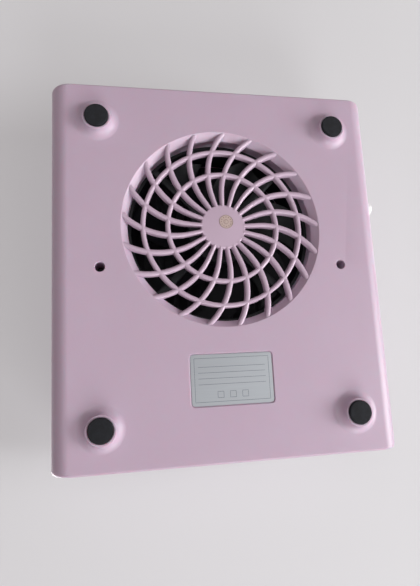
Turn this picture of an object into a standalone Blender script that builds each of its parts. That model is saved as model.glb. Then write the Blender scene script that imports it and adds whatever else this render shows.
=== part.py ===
"""Nail dust collector: a low table-top box that draws filing dust down through a
filter and blows the cleaned air out of a swirl grille in its underside.

Frame: metres, +Z up, standing on its four rubber pads at z = 0, back towards +Y,
the user's hand rest towards -Y. The power button is on the -X side.
Every piece is built about the middle of the housing, and one empty carries them
all, so that the middle of the outer box, button included, lies over the origin.
"""

import math

import bmesh
import bpy
from mathutils import Vector

# Housing
BODY_WIDTH = 0.210
BODY_DEPTH = 0.236
BODY_HEIGHT = 0.058
FOOT_HEIGHT = 0.0066
SIDE_FILLET = 0.0105
END_FILLET = 0.0015
PLAN_CORNER = 0.0045
DECK_FILLET = 0.0090
WALL = 0.0024
PART_HEIGHT = 0.028
LIP_HEIGHT = 0.0016
HAND_REST_SHARE = 0.85
HAND_REST_DROP = 0.012

# Clearances
GAP = 0.0003
SLIDE_GAP = 0.0006
OVERRUN = 0.002

# Outlet grille, throat and collar
THROAT_INSET = 0.0003
BEVEL_WIDTH = 0.0039
BEVEL_DEPTH = 0.0040
THROAT_DEPTH = 0.0117
COLLAR_WALL = 0.0025
COLLAR_ROOT = 0.0030
RING_SHARES = (0.585, 0.841)
RIB_WIDTH = 0.0029
RIB_DEPTH = 0.0038
GRILLE_SINK = 0.0003
HUB_RADIUS = 0.0143
HUB_DEPTH = 0.0030
SPOKE_COUNT = 21
SPOKE_WIDTH = 0.0032
SPOKE_ROOT_SHARE = 0.79
SPOKE_STRAIGHT_RADIUS = 0.022
SPOKE_ARC_RADIUS = 0.0450
SPOKE_PHASE_DEG = 5.15
SPOKE_EMBED = 0.0010

# Feet and their pads
FOOT_INSET_X = 0.0282
FOOT_INSET_Y = 0.0244
PAD_RADIUS = 0.0074
PAD_THICKNESS = 0.0022
PAD_CHAMFER = 0.0005
PAD_PROUD = 0.0015
FOOT_RIM = 0.0009
FOOT_TAPER = 0.0011
FOOT_FLARE = 0.0026

# Screws and their bosses
CASE_SCREW_SHARE = 0.362
SCREW_RADIUS = 0.0015
SCREW_HEAD_RADIUS = 0.0027
SCREW_HEAD_HEIGHT = 0.0020
SCREW_CLEARANCE = 0.0003
WELL_RADIUS = 0.0030
BOSS_WALL = 0.0020
BOSS_SEAT = 0.0026
CASE_WELL_DEPTH = 0.016
FOOT_WELL_DEPTH = 0.0045
SCREW_BITE = 0.011

# Rating plate on the underside
PLATE_WIDTH = 0.050
PLATE_DEPTH = 0.030
PLATE_CORNER = 0.0020
PLATE_THICKNESS = 0.0004
PLATE_POCKET = 0.0008
PLATE_MARGIN = 0.0004
PLATE_SHARE = 0.609

# Axial fan
FAN_SIZE = 0.120
FAN_HEIGHT = 0.025
FAN_CORNER = 0.006
FAN_FLANGE = 0.0032
FAN_RIM = 0.0024
FAN_BACK_ROOM = 0.0326
FAN_BARREL_WALL = 0.0018
FAN_HOLE_INSET = 0.0075
FAN_HOLE_RADIUS = 0.0022
FAN_SCREW_RADIUS = 0.0017
FAN_SCREW_HEAD = 0.0034
FAN_POST_RADIUS = 0.0042
STRUT_COUNT = 4
STRUT_WIDTH = 0.0050
STRUT_THICKNESS = 0.0030
MOTOR_PLATE_RADIUS = 0.0205
MOTOR_PLATE_THICKNESS = 0.0022
TUBE_RADIUS = 0.0054
TUBE_BORE_RADIUS = 0.0043
TUBE_HEIGHT = 0.0180
TUBE_STEP_RADIUS = 0.0064
TUBE_STEP_HEIGHT = 0.0082
HUB_CUP_RADIUS = 0.0205
HUB_CUP_WALL = 0.0015
HUB_CUP_HEIGHT = 0.0187
HUB_CUP_FLOAT = 0.0045
HUB_CUP_ROUND = 0.0018
CUP_BOSS_RADIUS = 0.0034
BLADE_COUNT = 7
BLADE_TIP_GAP = 0.0010
BLADE_CHORD = 0.0270
BLADE_THICKNESS = 0.0016
BLADE_EDGE = 0.0007
BLADE_ROOT_PITCH_DEG = 42.0
BLADE_TIP_PITCH_DEG = 27.0
BLADE_SWEEP_DEG = 20.0
BLADE_MID_HEIGHT = 0.0134
SHAFT_RADIUS = 0.0015
BEARING_WIDTH = 0.0030
SHAFT_CLEARANCE = 0.00015
MAGNET_THICKNESS = 0.0020
MAGNET_HEIGHT = 0.0135
STATOR_HEIGHT = 0.0070
STATOR_AIR_GAP = 0.0007
POLE_COUNT = 4
POLE_WIDTH = 0.0040
POLE_HEAD_DEPTH = 0.0016
POLE_HEAD_HALF_DEG = 34.0
COIL_DEPTH = 0.0022
COIL_LENGTH = 0.0030
MOTOR_BOARD_RADIUS = 0.0150
BOARD_THICKNESS = 0.0012

# Filter cartridge and its well
WELL_MARGIN = 0.0062
WELL_LEDGE = 0.0024
WELL_WALL = 0.0020
DUCT_MARGIN = 0.0008
LEDGE_LIFT = 0.0005
GASKET_WIDTH = 0.0040
GASKET_THICKNESS = 0.0015
FRAME_WALL = 0.0020
FRAME_FOOT = 0.0026
FRAME_FOOT_THICKNESS = 0.0014
GRILLE_RIM = 0.0040
GRILLE_THICKNESS = 0.0042
INTAKE_RIB_WIDTH = 0.0024
INTAKE_RIB_DEPTH = 0.0030
INTAKE_RING_COUNT = 2
INTAKE_SPOKE_COUNT = 12
INTAKE_HUB_RADIUS = 0.0120
GRIP_LENGTH = 0.0170
GRIP_WIDTH = 0.0036
GRIP_HEIGHT = 0.0050
PLEAT_COUNT = 13
PLEAT_THICKNESS = 0.0010
PLEAT_MARGIN = 0.0008

# Power button and its switch
BUTTON_FROM_BACK = 0.0737
BUTTON_Z = 0.0175
BUTTON_RADIUS = 0.0050
BUTTON_PROUD = 0.0064
BUTTON_DOME = 0.0018
DOME_ARC_DEG = 76.0
BUTTON_SKIRT = 0.0040
BUTTON_GAP = 0.0003
BUSHING_WALL = 0.0008
BUSHING_FLANGE_RADIUS = 0.0070
BUSHING_FLANGE = 0.0014
BUSHING_LENGTH = 0.0098
NUT_RADIUS = 0.0080
NUT_THICKNESS = 0.0024
SWITCH_SIZE = 0.0140
SWITCH_DEPTH = 0.0115
PLUNGER_RADIUS = 0.0012
PLUNGER_ENTRY = 0.0014
PLUNGER_HOLE_DEPTH = 0.0040
SPRING_RADIUS = 0.0026
SPRING_WIRE = 0.0003
SPRING_TURNS = 4

# Control board, power inlet and leads
BOARD_FROM_FOOT = 0.0128
BOARD_WIDTH = 0.060
BOARD_DEPTH = 0.0240
BOARD_WALL_GAP = 0.0022
BOARD_POST = 0.0050
BOARD_POST_RADIUS = 0.0030
BOARD_HOLE_INSET = 0.0040
BOARD_SCREW_RADIUS = 0.0012
BOARD_SCREW_HEAD = 0.0023
BOARD_SCREW_BITE = 0.0034
INLET_SHARE = -0.133
INLET_WIDTH = 0.0092
INLET_DEPTH = 0.0135
INLET_HEIGHT = 0.0106
INLET_NOSE_RADIUS = 0.0042
INLET_BORE_RADIUS = 0.0031
INLET_BORE_DEPTH = 0.0095
INLET_PIN_RADIUS = 0.0010
INLET_SETBACK = 0.0006
CAPACITOR_RADIUS = 0.0040
CAPACITOR_HEIGHT = 0.0100
CAPACITOR_SHARE = 0.533
LEAD_RADIUS = 0.0011

# Routes of the leads. The switch's lead is given by its share of the room between the switch
# and the fan's side, then by its distance from the board's left end; the fan's lead by its
# distance from the board's middle. Then come the distance from the back and the height.
SWITCH_LEAD_SIDE = (
    (0.0, 0.0737, 0.0241), (0.20, 0.0730, 0.0230), (0.56, 0.0630, 0.0150),
    (0.69, 0.0480, 0.0122), (0.69, 0.0360, 0.0140),
)
SWITCH_LEAD_BOARD = (
    (-0.0025, 0.0290, 0.0172), (0.0020, 0.0245, 0.0172), (0.0080, 0.0240, 0.0171),
)
FAN_LEAD_BOARD = (
    (0.0080, 0.0323, 0.0202), (0.0080, 0.0304, 0.0200), (0.0080, 0.0260, 0.0184),
    (0.0080, 0.0190, 0.0171),
)

# Facet counts
ROUND_STEPS = 32
SMALL_STEPS = 10
TINY_STEPS = 8
ROUND_PAD_STEPS = 14
MOTOR_STEPS = 18
FILLET_STEPS = 4

# Points closer than this are welded, and faces flatter than this are merged
WELD = GAP / 150
FLAT_DEG = 0.1

# Heights and places worked out from the sizes above
FACE_Z = FOOT_HEIGHT
FLOOR_Z = FACE_Z + WALL
PART_Z = FACE_Z + PART_HEIGHT
DECK_Z = FACE_Z + BODY_HEIGHT
COLLAR_TOP_Z = FACE_Z + THROAT_DEPTH
FAN_Z = COLLAR_TOP_Z + GAP
FAN_TOP_Z = FAN_Z + FAN_HEIGHT
LEDGE_Z = FAN_TOP_Z + LEDGE_LIFT
LEDGE_TOP_Z = LEDGE_Z + WELL_LEDGE
FAN_OFFSET = BODY_DEPTH / 2 - FAN_BACK_ROOM - FAN_SIZE / 2
FAN_BORE_RADIUS = FAN_SIZE / 2 - FAN_RIM
FAN_HOLE_HALF = FAN_SIZE / 2 - FAN_HOLE_INSET
THROAT_RADIUS = FAN_SIZE / 2 - THROAT_INSET
GRILLE_RADIUS = THROAT_RADIUS + BEVEL_WIDTH
DUCT_RADIUS = FAN_BORE_RADIUS + DUCT_MARGIN
WELL_BORE_RADIUS = FAN_SIZE / 2 + WELL_MARGIN
CARTRIDGE_RADIUS = WELL_BORE_RADIUS - SLIDE_GAP
FRONT_ROOM = BODY_DEPTH / 2 + FAN_OFFSET - GRILLE_RADIUS
PLATE_Y = PLATE_SHARE * FRONT_ROOM - BODY_DEPTH / 2
HAND_REST_LENGTH = HAND_REST_SHARE * (BODY_DEPTH / 2 + FAN_OFFSET - WELL_BORE_RADIUS - WELL_WALL)
GRILLE_Z = DECK_Z - GRILLE_THICKNESS
BUTTON_Y = BODY_DEPTH / 2 - BUTTON_FROM_BACK
BOARD_X = FOOT_INSET_X + BOARD_FROM_FOOT + BOARD_WIDTH / 2 - BODY_WIDTH / 2
INLET_X = BOARD_X + INLET_SHARE * BOARD_WIDTH / 2
CENTRE_X = BUTTON_PROUD / 2

# Where the switch's lead starts, behind the switch: its distance from the wall's outer face
SWITCH_END = BUSHING_LENGTH - BUSHING_FLANGE + SWITCH_DEPTH
LEAD_START = SWITCH_END + GAP

# Corners in the order that the loops visit them, as the user in front of the part sees them
CORNERS = ("front_left", "front_right", "back_left", "back_right")
SIDES = ("left", "right")

MATERIALS = {
    "abs_shell": ((0.63, 0.47, 0.56, 1.0), 0.45, 0.0),
    "rubber": ((0.013, 0.015, 0.018, 1.0), 0.8, 0.0),
    "steel": ((0.55, 0.56, 0.58, 1.0), 0.3, 1.0),
    "label_film": ((0.42, 0.46, 0.47, 1.0), 0.35, 0.0),
    "black_pbt": ((0.012, 0.012, 0.016, 1.0), 0.5, 0.0),
    "ferrite": ((0.05, 0.05, 0.05, 1.0), 0.7, 0.0),
    "copper_wire": ((0.55, 0.22, 0.10, 1.0), 0.35, 1.0),
    "circuit_board": ((0.02, 0.16, 0.07, 1.0), 0.5, 0.0),
    "white_button": ((0.85, 0.85, 0.86, 1.0), 0.3, 0.0),
    "foam": ((0.10, 0.10, 0.11, 1.0), 0.95, 0.0),
    "filter_paper": ((0.060, 0.062, 0.066, 1.0), 0.9, 0.0),
    "lead_sheath": ((0.03, 0.03, 0.03, 1.0), 0.6, 0.0),
}


def clear_scene():
    """Empty the scene of the objects it opens with."""
    for thing in list(bpy.data.objects):
        bpy.data.objects.remove(thing, do_unlink=True)


def material(name):
    """Return the named Principled material, made on first use."""
    found = bpy.data.materials.get(name)
    if found:
        return found
    colour, roughness, metallic = MATERIALS[name]
    made = bpy.data.materials.new(name)
    made.use_nodes = True
    shader = made.node_tree.nodes["Principled BSDF"]
    shader.inputs["Base Color"].default_value = colour
    shader.inputs["Roughness"].default_value = roughness
    shader.inputs["Metallic"].default_value = metallic
    return made


def empty(name, parent, location):
    """An axis or frame that other objects hang from."""
    made = bpy.data.objects.new(name, None)
    made.parent = parent
    made.location = location
    bpy.context.collection.objects.link(made)
    return made


def solid(name, mesh_data, finish=None, parent=None, location=(0, 0, 0), rotation=(0, 0, 0)):
    """Turn a bmesh into an object with a closed mesh whose faces point outwards."""
    bmesh.ops.recalc_face_normals(mesh_data, faces=mesh_data.faces)
    mesh = bpy.data.meshes.new(name)
    mesh_data.to_mesh(mesh)
    mesh_data.free()
    made = bpy.data.objects.new(name, mesh)
    made.parent = parent
    made.location = location
    made.rotation_euler = rotation
    bpy.context.collection.objects.link(made)
    if finish:
        mesh.materials.append(material(finish))
        mesh.shade_smooth()
        mesh.set_sharp_from_angle(angle=math.radians(30))
    return made


def skin(shape, loops, closed=False):
    """Join equal loops of points into a tube with flat ends, or into a ring if closed."""
    rows = [[shape.verts.new(point) for point in loop] for loop in loops]
    count = len(rows[0])
    pairs = list(zip(rows, rows[1:]))
    if closed:
        pairs.append((rows[-1], rows[0]))
    for low, high in pairs:
        for index in range(count):
            after = (index + 1) % count
            shape.faces.new((low[index], low[after], high[after], high[index]))
    if not closed:
        shape.faces.new(rows[0][::-1])
        shape.faces.new(rows[-1])
    return shape


def prism(shape, outline, low, high):
    """Extrude a flat outline of (x, y) points from one height to another."""
    loops = [[Vector((x, y, z)) for x, y in outline] for z in (low, high)]
    return skin(shape, loops)


def circle(radius, steps, centre=(0, 0), phase=0.0):
    """Points round a circle."""
    turn = 2 * math.pi / steps
    return [
        (centre[0] + radius * math.cos(phase + turn * step),
         centre[1] + radius * math.sin(phase + turn * step))
        for step in range(steps)
    ]


def revolve(shape, profile, steps, centre=(0, 0)):
    """Turn a stack of (radius, z) points about Z; a first or last radius of 0 closes it."""
    inner = [point for point in profile if point[0] > 0]
    loops = [
        [Vector((x, y, z)) for x, y in circle(radius, steps, centre)]
        for radius, z in inner
    ]
    if len(inner) == len(profile):
        return skin(shape, loops, closed=True)
    return skin(shape, loops)


def cylinder(shape, radius, low, high, steps, centre=(0, 0)):
    """A plain round bar along Z."""
    return prism(shape, circle(radius, steps, centre), low, high)


def block(shape, low, high):
    """A box between two corners."""
    outline = [(low[0], low[1]), (high[0], low[1]), (high[0], high[1]), (low[0], high[1])]
    return prism(shape, outline, low[2], high[2])


def rounded_rectangle(half_x, half_y, radius, steps, centre=(0, 0)):
    """Outline of a rectangle whose four corners are arcs."""
    points = []
    for turn, (side_x, side_y) in enumerate(((1, 1), (-1, 1), (-1, -1), (1, -1))):
        middle_x = centre[0] + side_x * (half_x - radius)
        middle_y = centre[1] + side_y * (half_y - radius)
        for step in range(steps + 1):
            angle = (turn + step / steps) * math.pi / 2
            points.append((middle_x + radius * math.cos(angle),
                           middle_y + radius * math.sin(angle)))
    return points


def combine(target, tool, operation):
    """Apply one exact Boolean and drop its tool."""
    modifier = target.modifiers.new("combine", "BOOLEAN")
    modifier.object = tool
    modifier.operation = operation
    modifier.solver = "EXACT"
    modifier.use_self = True
    graph = bpy.context.evaluated_depsgraph_get()
    graph.update()
    mesh = bpy.data.meshes.new_from_object(target.evaluated_get(graph))
    target.modifiers.clear()
    target.data = mesh
    bpy.data.objects.remove(tool, do_unlink=True)


def finish_solid(target, name, finish, parent=None):
    """Name a cut or joined solid, give it its material, and weld its hair-thin edges."""
    shape = bmesh.new()
    shape.from_mesh(target.data)
    bmesh.ops.remove_doubles(shape, verts=shape.verts, dist=WELD)
    bmesh.ops.dissolve_degenerate(shape, edges=shape.edges, dist=WELD)
    bmesh.ops.dissolve_limit(shape, angle_limit=math.radians(FLAT_DEG), verts=shape.verts,
                             edges=shape.edges)
    bmesh.ops.triangulate(shape, faces=shape.faces)
    mesh = bpy.data.meshes.new(name)
    shape.to_mesh(mesh)
    shape.free()
    mesh.materials.clear()
    mesh.materials.append(material(finish))
    mesh.shade_smooth()
    mesh.set_sharp_from_angle(angle=math.radians(30))
    target.data = mesh
    target.name = name
    target.parent = parent
    return target


def fillet_depth(radius, distance):
    """How far a round edge has drawn in at a distance from the end it rounds."""
    if distance >= radius:
        return 0.0
    return radius - math.sqrt(radius ** 2 - (radius - distance) ** 2)


def end_stations(half, corner, edge, spread):
    """Places along Y, from one end to the other, close together where the ends round."""
    shares = (0.0, 0.1, 0.4, 1.0)
    from_end = sorted({share * corner for share in shares} | {edge})
    back = [half - distance for distance in from_end]
    return [-place for place in back] + list(spread) + back[::-1]


def rest_drop(y, length, half_depth, drop):
    """Fall of the hand rest: an S-curve from the flat deck down to the front edge."""
    share = (-y - (half_depth - length)) / length
    share = min(max(share, 0.0), 1.0)
    return drop * share * share * (3 - 2 * share)


def corner_arc(corner_x, corner_z, radius, start):
    """Quarter circle in a cross-section, as (x, z) points about a centre."""
    return [
        (corner_x + radius * math.cos(start + step * math.pi / 2 / FILLET_STEPS),
         corner_z + radius * math.sin(start + step * math.pi / 2 / FILLET_STEPS))
        for step in range(FILLET_STEPS + 1)
    ]


def lower_body(inset, low, high):
    """Loft of the tray: cross-sections along Y with wide side fillets below."""
    half_x = BODY_WIDTH / 2 - inset
    half_y = BODY_DEPTH / 2 - inset
    fillet = SIDE_FILLET - inset
    corner = PLAN_CORNER - inset
    edge = min(END_FILLET, corner)
    loops = []
    for y in end_stations(half_y, corner, edge, ()):
        narrow = fillet_depth(corner, half_y - abs(y))
        base = low + fillet_depth(edge, half_y - abs(y))
        side = half_x - narrow
        section = [(side, high)]
        right = corner_arc(side - fillet, base + fillet, fillet, -math.pi / 2)
        section += right[::-1]
        section += [(-x, z) for x, z in right]
        section.append((-side, high))
        loops.append([Vector((x, y, z)) for x, z in section])
    return skin(bmesh.new(), loops)


def upper_body(inset, low, deck, rest_steps):
    """Loft of the cover: flat deck behind, hand rest falling away in front."""
    half_x = BODY_WIDTH / 2 - inset
    half_y = BODY_DEPTH / 2 - inset
    fillet = DECK_FILLET - inset
    corner = PLAN_CORNER - inset
    slope = HAND_REST_LENGTH - PLAN_CORNER
    rest = [
        PLAN_CORNER + slope * step / rest_steps - BODY_DEPTH / 2
        for step in range(1, rest_steps + 1)
    ]
    loops = []
    for y in end_stations(half_y, corner, corner, rest):
        narrow = fillet_depth(corner, half_y - abs(y))
        top = deck - rest_drop(y, HAND_REST_LENGTH, BODY_DEPTH / 2, HAND_REST_DROP) - narrow
        side = half_x - narrow
        right = corner_arc(side - fillet, top - fillet, fillet, 0.0)
        section = [(side, low)] + right + [(-x, z) for x, z in right[::-1]] + [(-side, low)]
        loops.append([Vector((x, y, z)) for x, z in section])
    return skin(bmesh.new(), loops)


def feet():
    """Centres of the four feet."""
    reach_x = BODY_WIDTH / 2 - FOOT_INSET_X
    reach_y = BODY_DEPTH / 2 - FOOT_INSET_Y
    return [(sx * reach_x, sy * reach_y) for sy in (-1, 1) for sx in (-1, 1)]


def case_screws():
    """Centres of the two screws seen from below, beside the fan."""
    reach = FAN_SIZE / 2 + CASE_SCREW_SHARE * (BODY_WIDTH - FAN_SIZE) / 2
    return [(side * reach, 0.0) for side in (-1, 1)]


def fan_corners():
    """Centres of the fan's four screw holes."""
    return [
        (sx * FAN_HOLE_HALF, FAN_OFFSET + sy * FAN_HOLE_HALF)
        for sy in (-1, 1) for sx in (-1, 1)
    ]


def board_holes():
    """Centres of the control board's two screw holes."""
    reach = BOARD_WIDTH / 2 - BOARD_HOLE_INSET
    return [(BOARD_X + side * reach, board_y()) for side in (-1, 1)]


def board_y():
    """Middle of the control board, close behind the back wall."""
    return BODY_DEPTH / 2 - WALL - BOARD_WALL_GAP - BOARD_DEPTH / 2


def board_z():
    """Underside of the control board, on its posts."""
    return FLOOR_Z + BOARD_POST + GAP


def inlet_z():
    """Height of the power inlet's axis."""
    return board_z() + BOARD_THICKNESS + GAP + INLET_HEIGHT / 2


def button_z():
    """Height of the button's axis."""
    return FACE_Z + BUTTON_Z


def rib_section(width, depth, steps=2):
    """Cross-section of a grille rib: a round crest on straight flanks, crest at 0."""
    half = width / 2
    crest = [
        (half * math.cos(math.pi * step / steps), half * (math.sin(math.pi * step / steps) - 1))
        for step in range(steps + 1)
    ]
    return crest + [(-half, -depth), (half, -depth)]


def spoke_path(start, reach):
    """Centre line of a swirl spoke: radial near the hub, then a circular arc."""
    points = [(start, 0.0, 0.0)]
    steps = 4
    closing = (SPOKE_STRAIGHT_RADIUS ** 2 + 2 * SPOKE_ARC_RADIUS ** 2 - reach ** 2)
    side = 2 * SPOKE_ARC_RADIUS * math.hypot(SPOKE_STRAIGHT_RADIUS, SPOKE_ARC_RADIUS)
    lean = math.atan2(SPOKE_STRAIGHT_RADIUS, SPOKE_ARC_RADIUS)
    turn = math.acos(min(max(closing / side, -1.0), 1.0)) - lean
    for step in range(steps + 1):
        angle = turn * step / steps
        x = SPOKE_STRAIGHT_RADIUS + SPOKE_ARC_RADIUS * math.sin(angle)
        y = SPOKE_ARC_RADIUS * (1 - math.cos(angle))
        points.append((x, y, angle))
    return points


def swirl_spokes(crest_z):
    """All the swirl spokes of the outlet grille, as separate closed ribs that widen outwards."""
    shape = bmesh.new()
    section = rib_section(SPOKE_WIDTH, RIB_DEPTH)
    widening = RING_SHARES[0] * THROAT_RADIUS - HUB_RADIUS
    path = spoke_path(HUB_RADIUS - SPOKE_EMBED, GRILLE_RADIUS + SPOKE_EMBED)
    for spoke in range(SPOKE_COUNT):
        phase = math.radians(SPOKE_PHASE_DEG) + 2 * math.pi * spoke / SPOKE_COUNT
        cosine, sine = math.cos(phase), math.sin(phase)
        loops = []
        for x, y, heading in path:
            loop = []
            grown = min((math.hypot(x, y) - HUB_RADIUS) / widening, 1.0)
            share = SPOKE_ROOT_SHARE + (1 - SPOKE_ROOT_SHARE) * grown
            for across, up in section:
                px = x - share * across * math.sin(heading)
                py = y + share * across * math.cos(heading)
                loop.append(Vector((
                    px * cosine - py * sine,
                    FAN_OFFSET + px * sine + py * cosine,
                    crest_z - up,
                )))
            loops.append(loop)
        skin(shape, loops)
    return shape


def rib_ring(shape, radius, section, crest_z, down, steps, centre):
    """One round rib; its crest points down when down is 1, and up when it is -1."""
    profile = [(radius + across, crest_z - down * up) for across, up in section]
    return revolve(shape, profile, steps, centre)


def bottom_shell(frame):
    """Tray: floor with feet, collar, bosses and swirl grille, moulded in one piece."""
    centre = (0, FAN_OFFSET)
    tray = solid("tray", lower_body(0.0, FACE_Z, PART_Z))

    cones = bmesh.new()
    rim = PAD_RADIUS + GAP + FOOT_RIM
    base = rim + FOOT_TAPER
    for foot in feet():
        profile = [
            (0, PAD_PROUD), (rim - FOOT_RIM / 3, PAD_PROUD), (rim, PAD_PROUD + FOOT_RIM / 3),
            (base, FACE_Z - FOOT_FLARE / 2), (base + FOOT_FLARE, FACE_Z + GAP / 3),
            (0, FACE_Z + WALL / 2),
        ]
        revolve(cones, profile, ROUND_PAD_STEPS, foot)
    combine(tray, solid("cones", cones), "UNION")

    lip = solid("lip", lower_body(WALL / 2, FACE_Z + WALL / 2, PART_Z + LIP_HEIGHT))
    combine(tray, lip, "UNION")

    cavity = solid("cavity", lower_body(WALL, FLOOR_Z, PART_Z + LIP_HEIGHT + OVERRUN))
    islands = bmesh.new()
    collar = THROAT_RADIUS + COLLAR_WALL
    revolve(islands, [
        (0, FACE_Z), (GRILLE_RADIUS + COLLAR_ROOT, FACE_Z), (GRILLE_RADIUS + COLLAR_ROOT, FLOOR_Z),
        (collar, FACE_Z + THROAT_DEPTH * 2 / 3), (collar, COLLAR_TOP_Z), (0, COLLAR_TOP_Z),
    ], ROUND_STEPS, centre)
    for corner in fan_corners():
        cylinder(islands, FAN_POST_RADIUS, FACE_Z, COLLAR_TOP_Z, TINY_STEPS, corner)
    case_top = FACE_Z + CASE_WELL_DEPTH + BOSS_SEAT
    for screw in case_screws():
        cylinder(islands, WELL_RADIUS + BOSS_WALL, FACE_Z, case_top, SMALL_STEPS, screw)
    for foot in feet():
        cylinder(islands, WELL_RADIUS + BOSS_WALL, FACE_Z, foot_boss_z(), SMALL_STEPS, foot)
    for hole in board_holes():
        cylinder(islands, BOARD_POST_RADIUS, FACE_Z, board_z() - GAP, TINY_STEPS, hole)
    combine(cavity, solid("islands", islands), "DIFFERENCE")
    combine(tray, cavity, "DIFFERENCE")

    cuts = bmesh.new()
    slope = (GRILLE_RADIUS - THROAT_RADIUS) / BEVEL_DEPTH
    revolve(cuts, [
        (0, FACE_Z - OVERRUN), (GRILLE_RADIUS + slope * OVERRUN, FACE_Z - OVERRUN),
        (THROAT_RADIUS, FACE_Z + BEVEL_DEPTH), (THROAT_RADIUS, COLLAR_TOP_Z + OVERRUN),
        (0, COLLAR_TOP_Z + OVERRUN),
    ], ROUND_STEPS, centre)
    for corner in fan_corners():
        cylinder(cuts, FAN_SCREW_RADIUS + SCREW_CLEARANCE, FLOOR_Z, COLLAR_TOP_Z + OVERRUN,
                 TINY_STEPS, corner)
    for screw in case_screws():
        screw_well(cuts, FACE_Z - OVERRUN, FACE_Z + CASE_WELL_DEPTH, case_top + OVERRUN, screw)
    for foot in feet():
        screw_well(cuts, FACE_Z - OVERRUN, foot_well_z(), foot_boss_z() + OVERRUN, foot)
    for hole in board_holes():
        low = board_z() - GAP - BOARD_SCREW_BITE - SCREW_CLEARANCE
        cylinder(cuts, BOARD_SCREW_RADIUS + SCREW_CLEARANCE, low, board_z() + OVERRUN,
                 TINY_STEPS, hole)
    pocket = rounded_rectangle(PLATE_WIDTH / 2 + PLATE_MARGIN, PLATE_DEPTH / 2 + PLATE_MARGIN,
                               PLATE_CORNER + PLATE_MARGIN, 3, (0, PLATE_Y))
    prism(cuts, pocket, FACE_Z - OVERRUN, FACE_Z + PLATE_POCKET)
    combine(tray, solid("cuts", cuts), "DIFFERENCE")

    recesses = bmesh.new()
    for foot in feet():
        cylinder(recesses, PAD_RADIUS + GAP, -OVERRUN, PAD_THICKNESS + GAP, ROUND_PAD_STEPS, foot)
    combine(tray, solid("recesses", recesses), "DIFFERENCE")
    combine(tray, side_hole(), "DIFFERENCE")
    combine(tray, back_hole(), "DIFFERENCE")

    crest = FACE_Z + GRILLE_SINK
    rings = bmesh.new()
    section = rib_section(RIB_WIDTH, RIB_DEPTH)
    for share in RING_SHARES:
        rib_ring(rings, share * THROAT_RADIUS, section, crest, 1, 2 * SPOKE_COUNT, centre)
    hub = HUB_RADIUS - HUB_DEPTH / 4
    revolve(rings, [
        (0, crest + GAP), (hub, crest + GAP), (HUB_RADIUS, crest + GAP + HUB_DEPTH / 4),
        (HUB_RADIUS, crest + RIB_DEPTH), (0, crest + RIB_DEPTH),
    ], 2 * SPOKE_COUNT, centre)
    grille = solid("grille", swirl_spokes(crest))
    combine(grille, solid("rings", rings), "UNION")
    combine(tray, grille, "UNION")
    return finish_solid(tray, "bottom_shell", "abs_shell", frame)


def foot_well_z():
    """Seat of a foot screw's head, above the pad."""
    return FACE_Z + FOOT_WELL_DEPTH


def foot_boss_z():
    """Top of the tray's boss over a foot."""
    return foot_well_z() + BOSS_SEAT


def screw_well(shape, low, seat, top, centre):
    """Cutter for a screw: a wide well up to the head's seat, then the shank's hole."""
    shank = SCREW_RADIUS + SCREW_CLEARANCE
    revolve(shape, [(0, low), (WELL_RADIUS, low), (WELL_RADIUS, seat), (shank, seat),
                    (shank, top), (0, top)], SMALL_STEPS, centre)


def side_hole():
    """Cutter for the switch's bushing, through the -X wall."""
    shape = bmesh.new()
    radius = BUTTON_RADIUS + BUTTON_GAP + BUSHING_WALL + GAP
    cylinder(shape, radius, -WALL - OVERRUN, OVERRUN, SMALL_STEPS)
    return solid("side_hole", shape, location=(-BODY_WIDTH / 2, BUTTON_Y, button_z()),
                 rotation=(0, -math.pi / 2, 0))


def back_hole():
    """Cutter for the power inlet's nose, through the back wall."""
    shape = bmesh.new()
    cylinder(shape, INLET_NOSE_RADIUS + GAP, -WALL - OVERRUN, OVERRUN, SMALL_STEPS)
    return solid("back_hole", shape, location=(INLET_X, BODY_DEPTH / 2, inlet_z()),
                 rotation=(-math.pi / 2, 0, 0))


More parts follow.
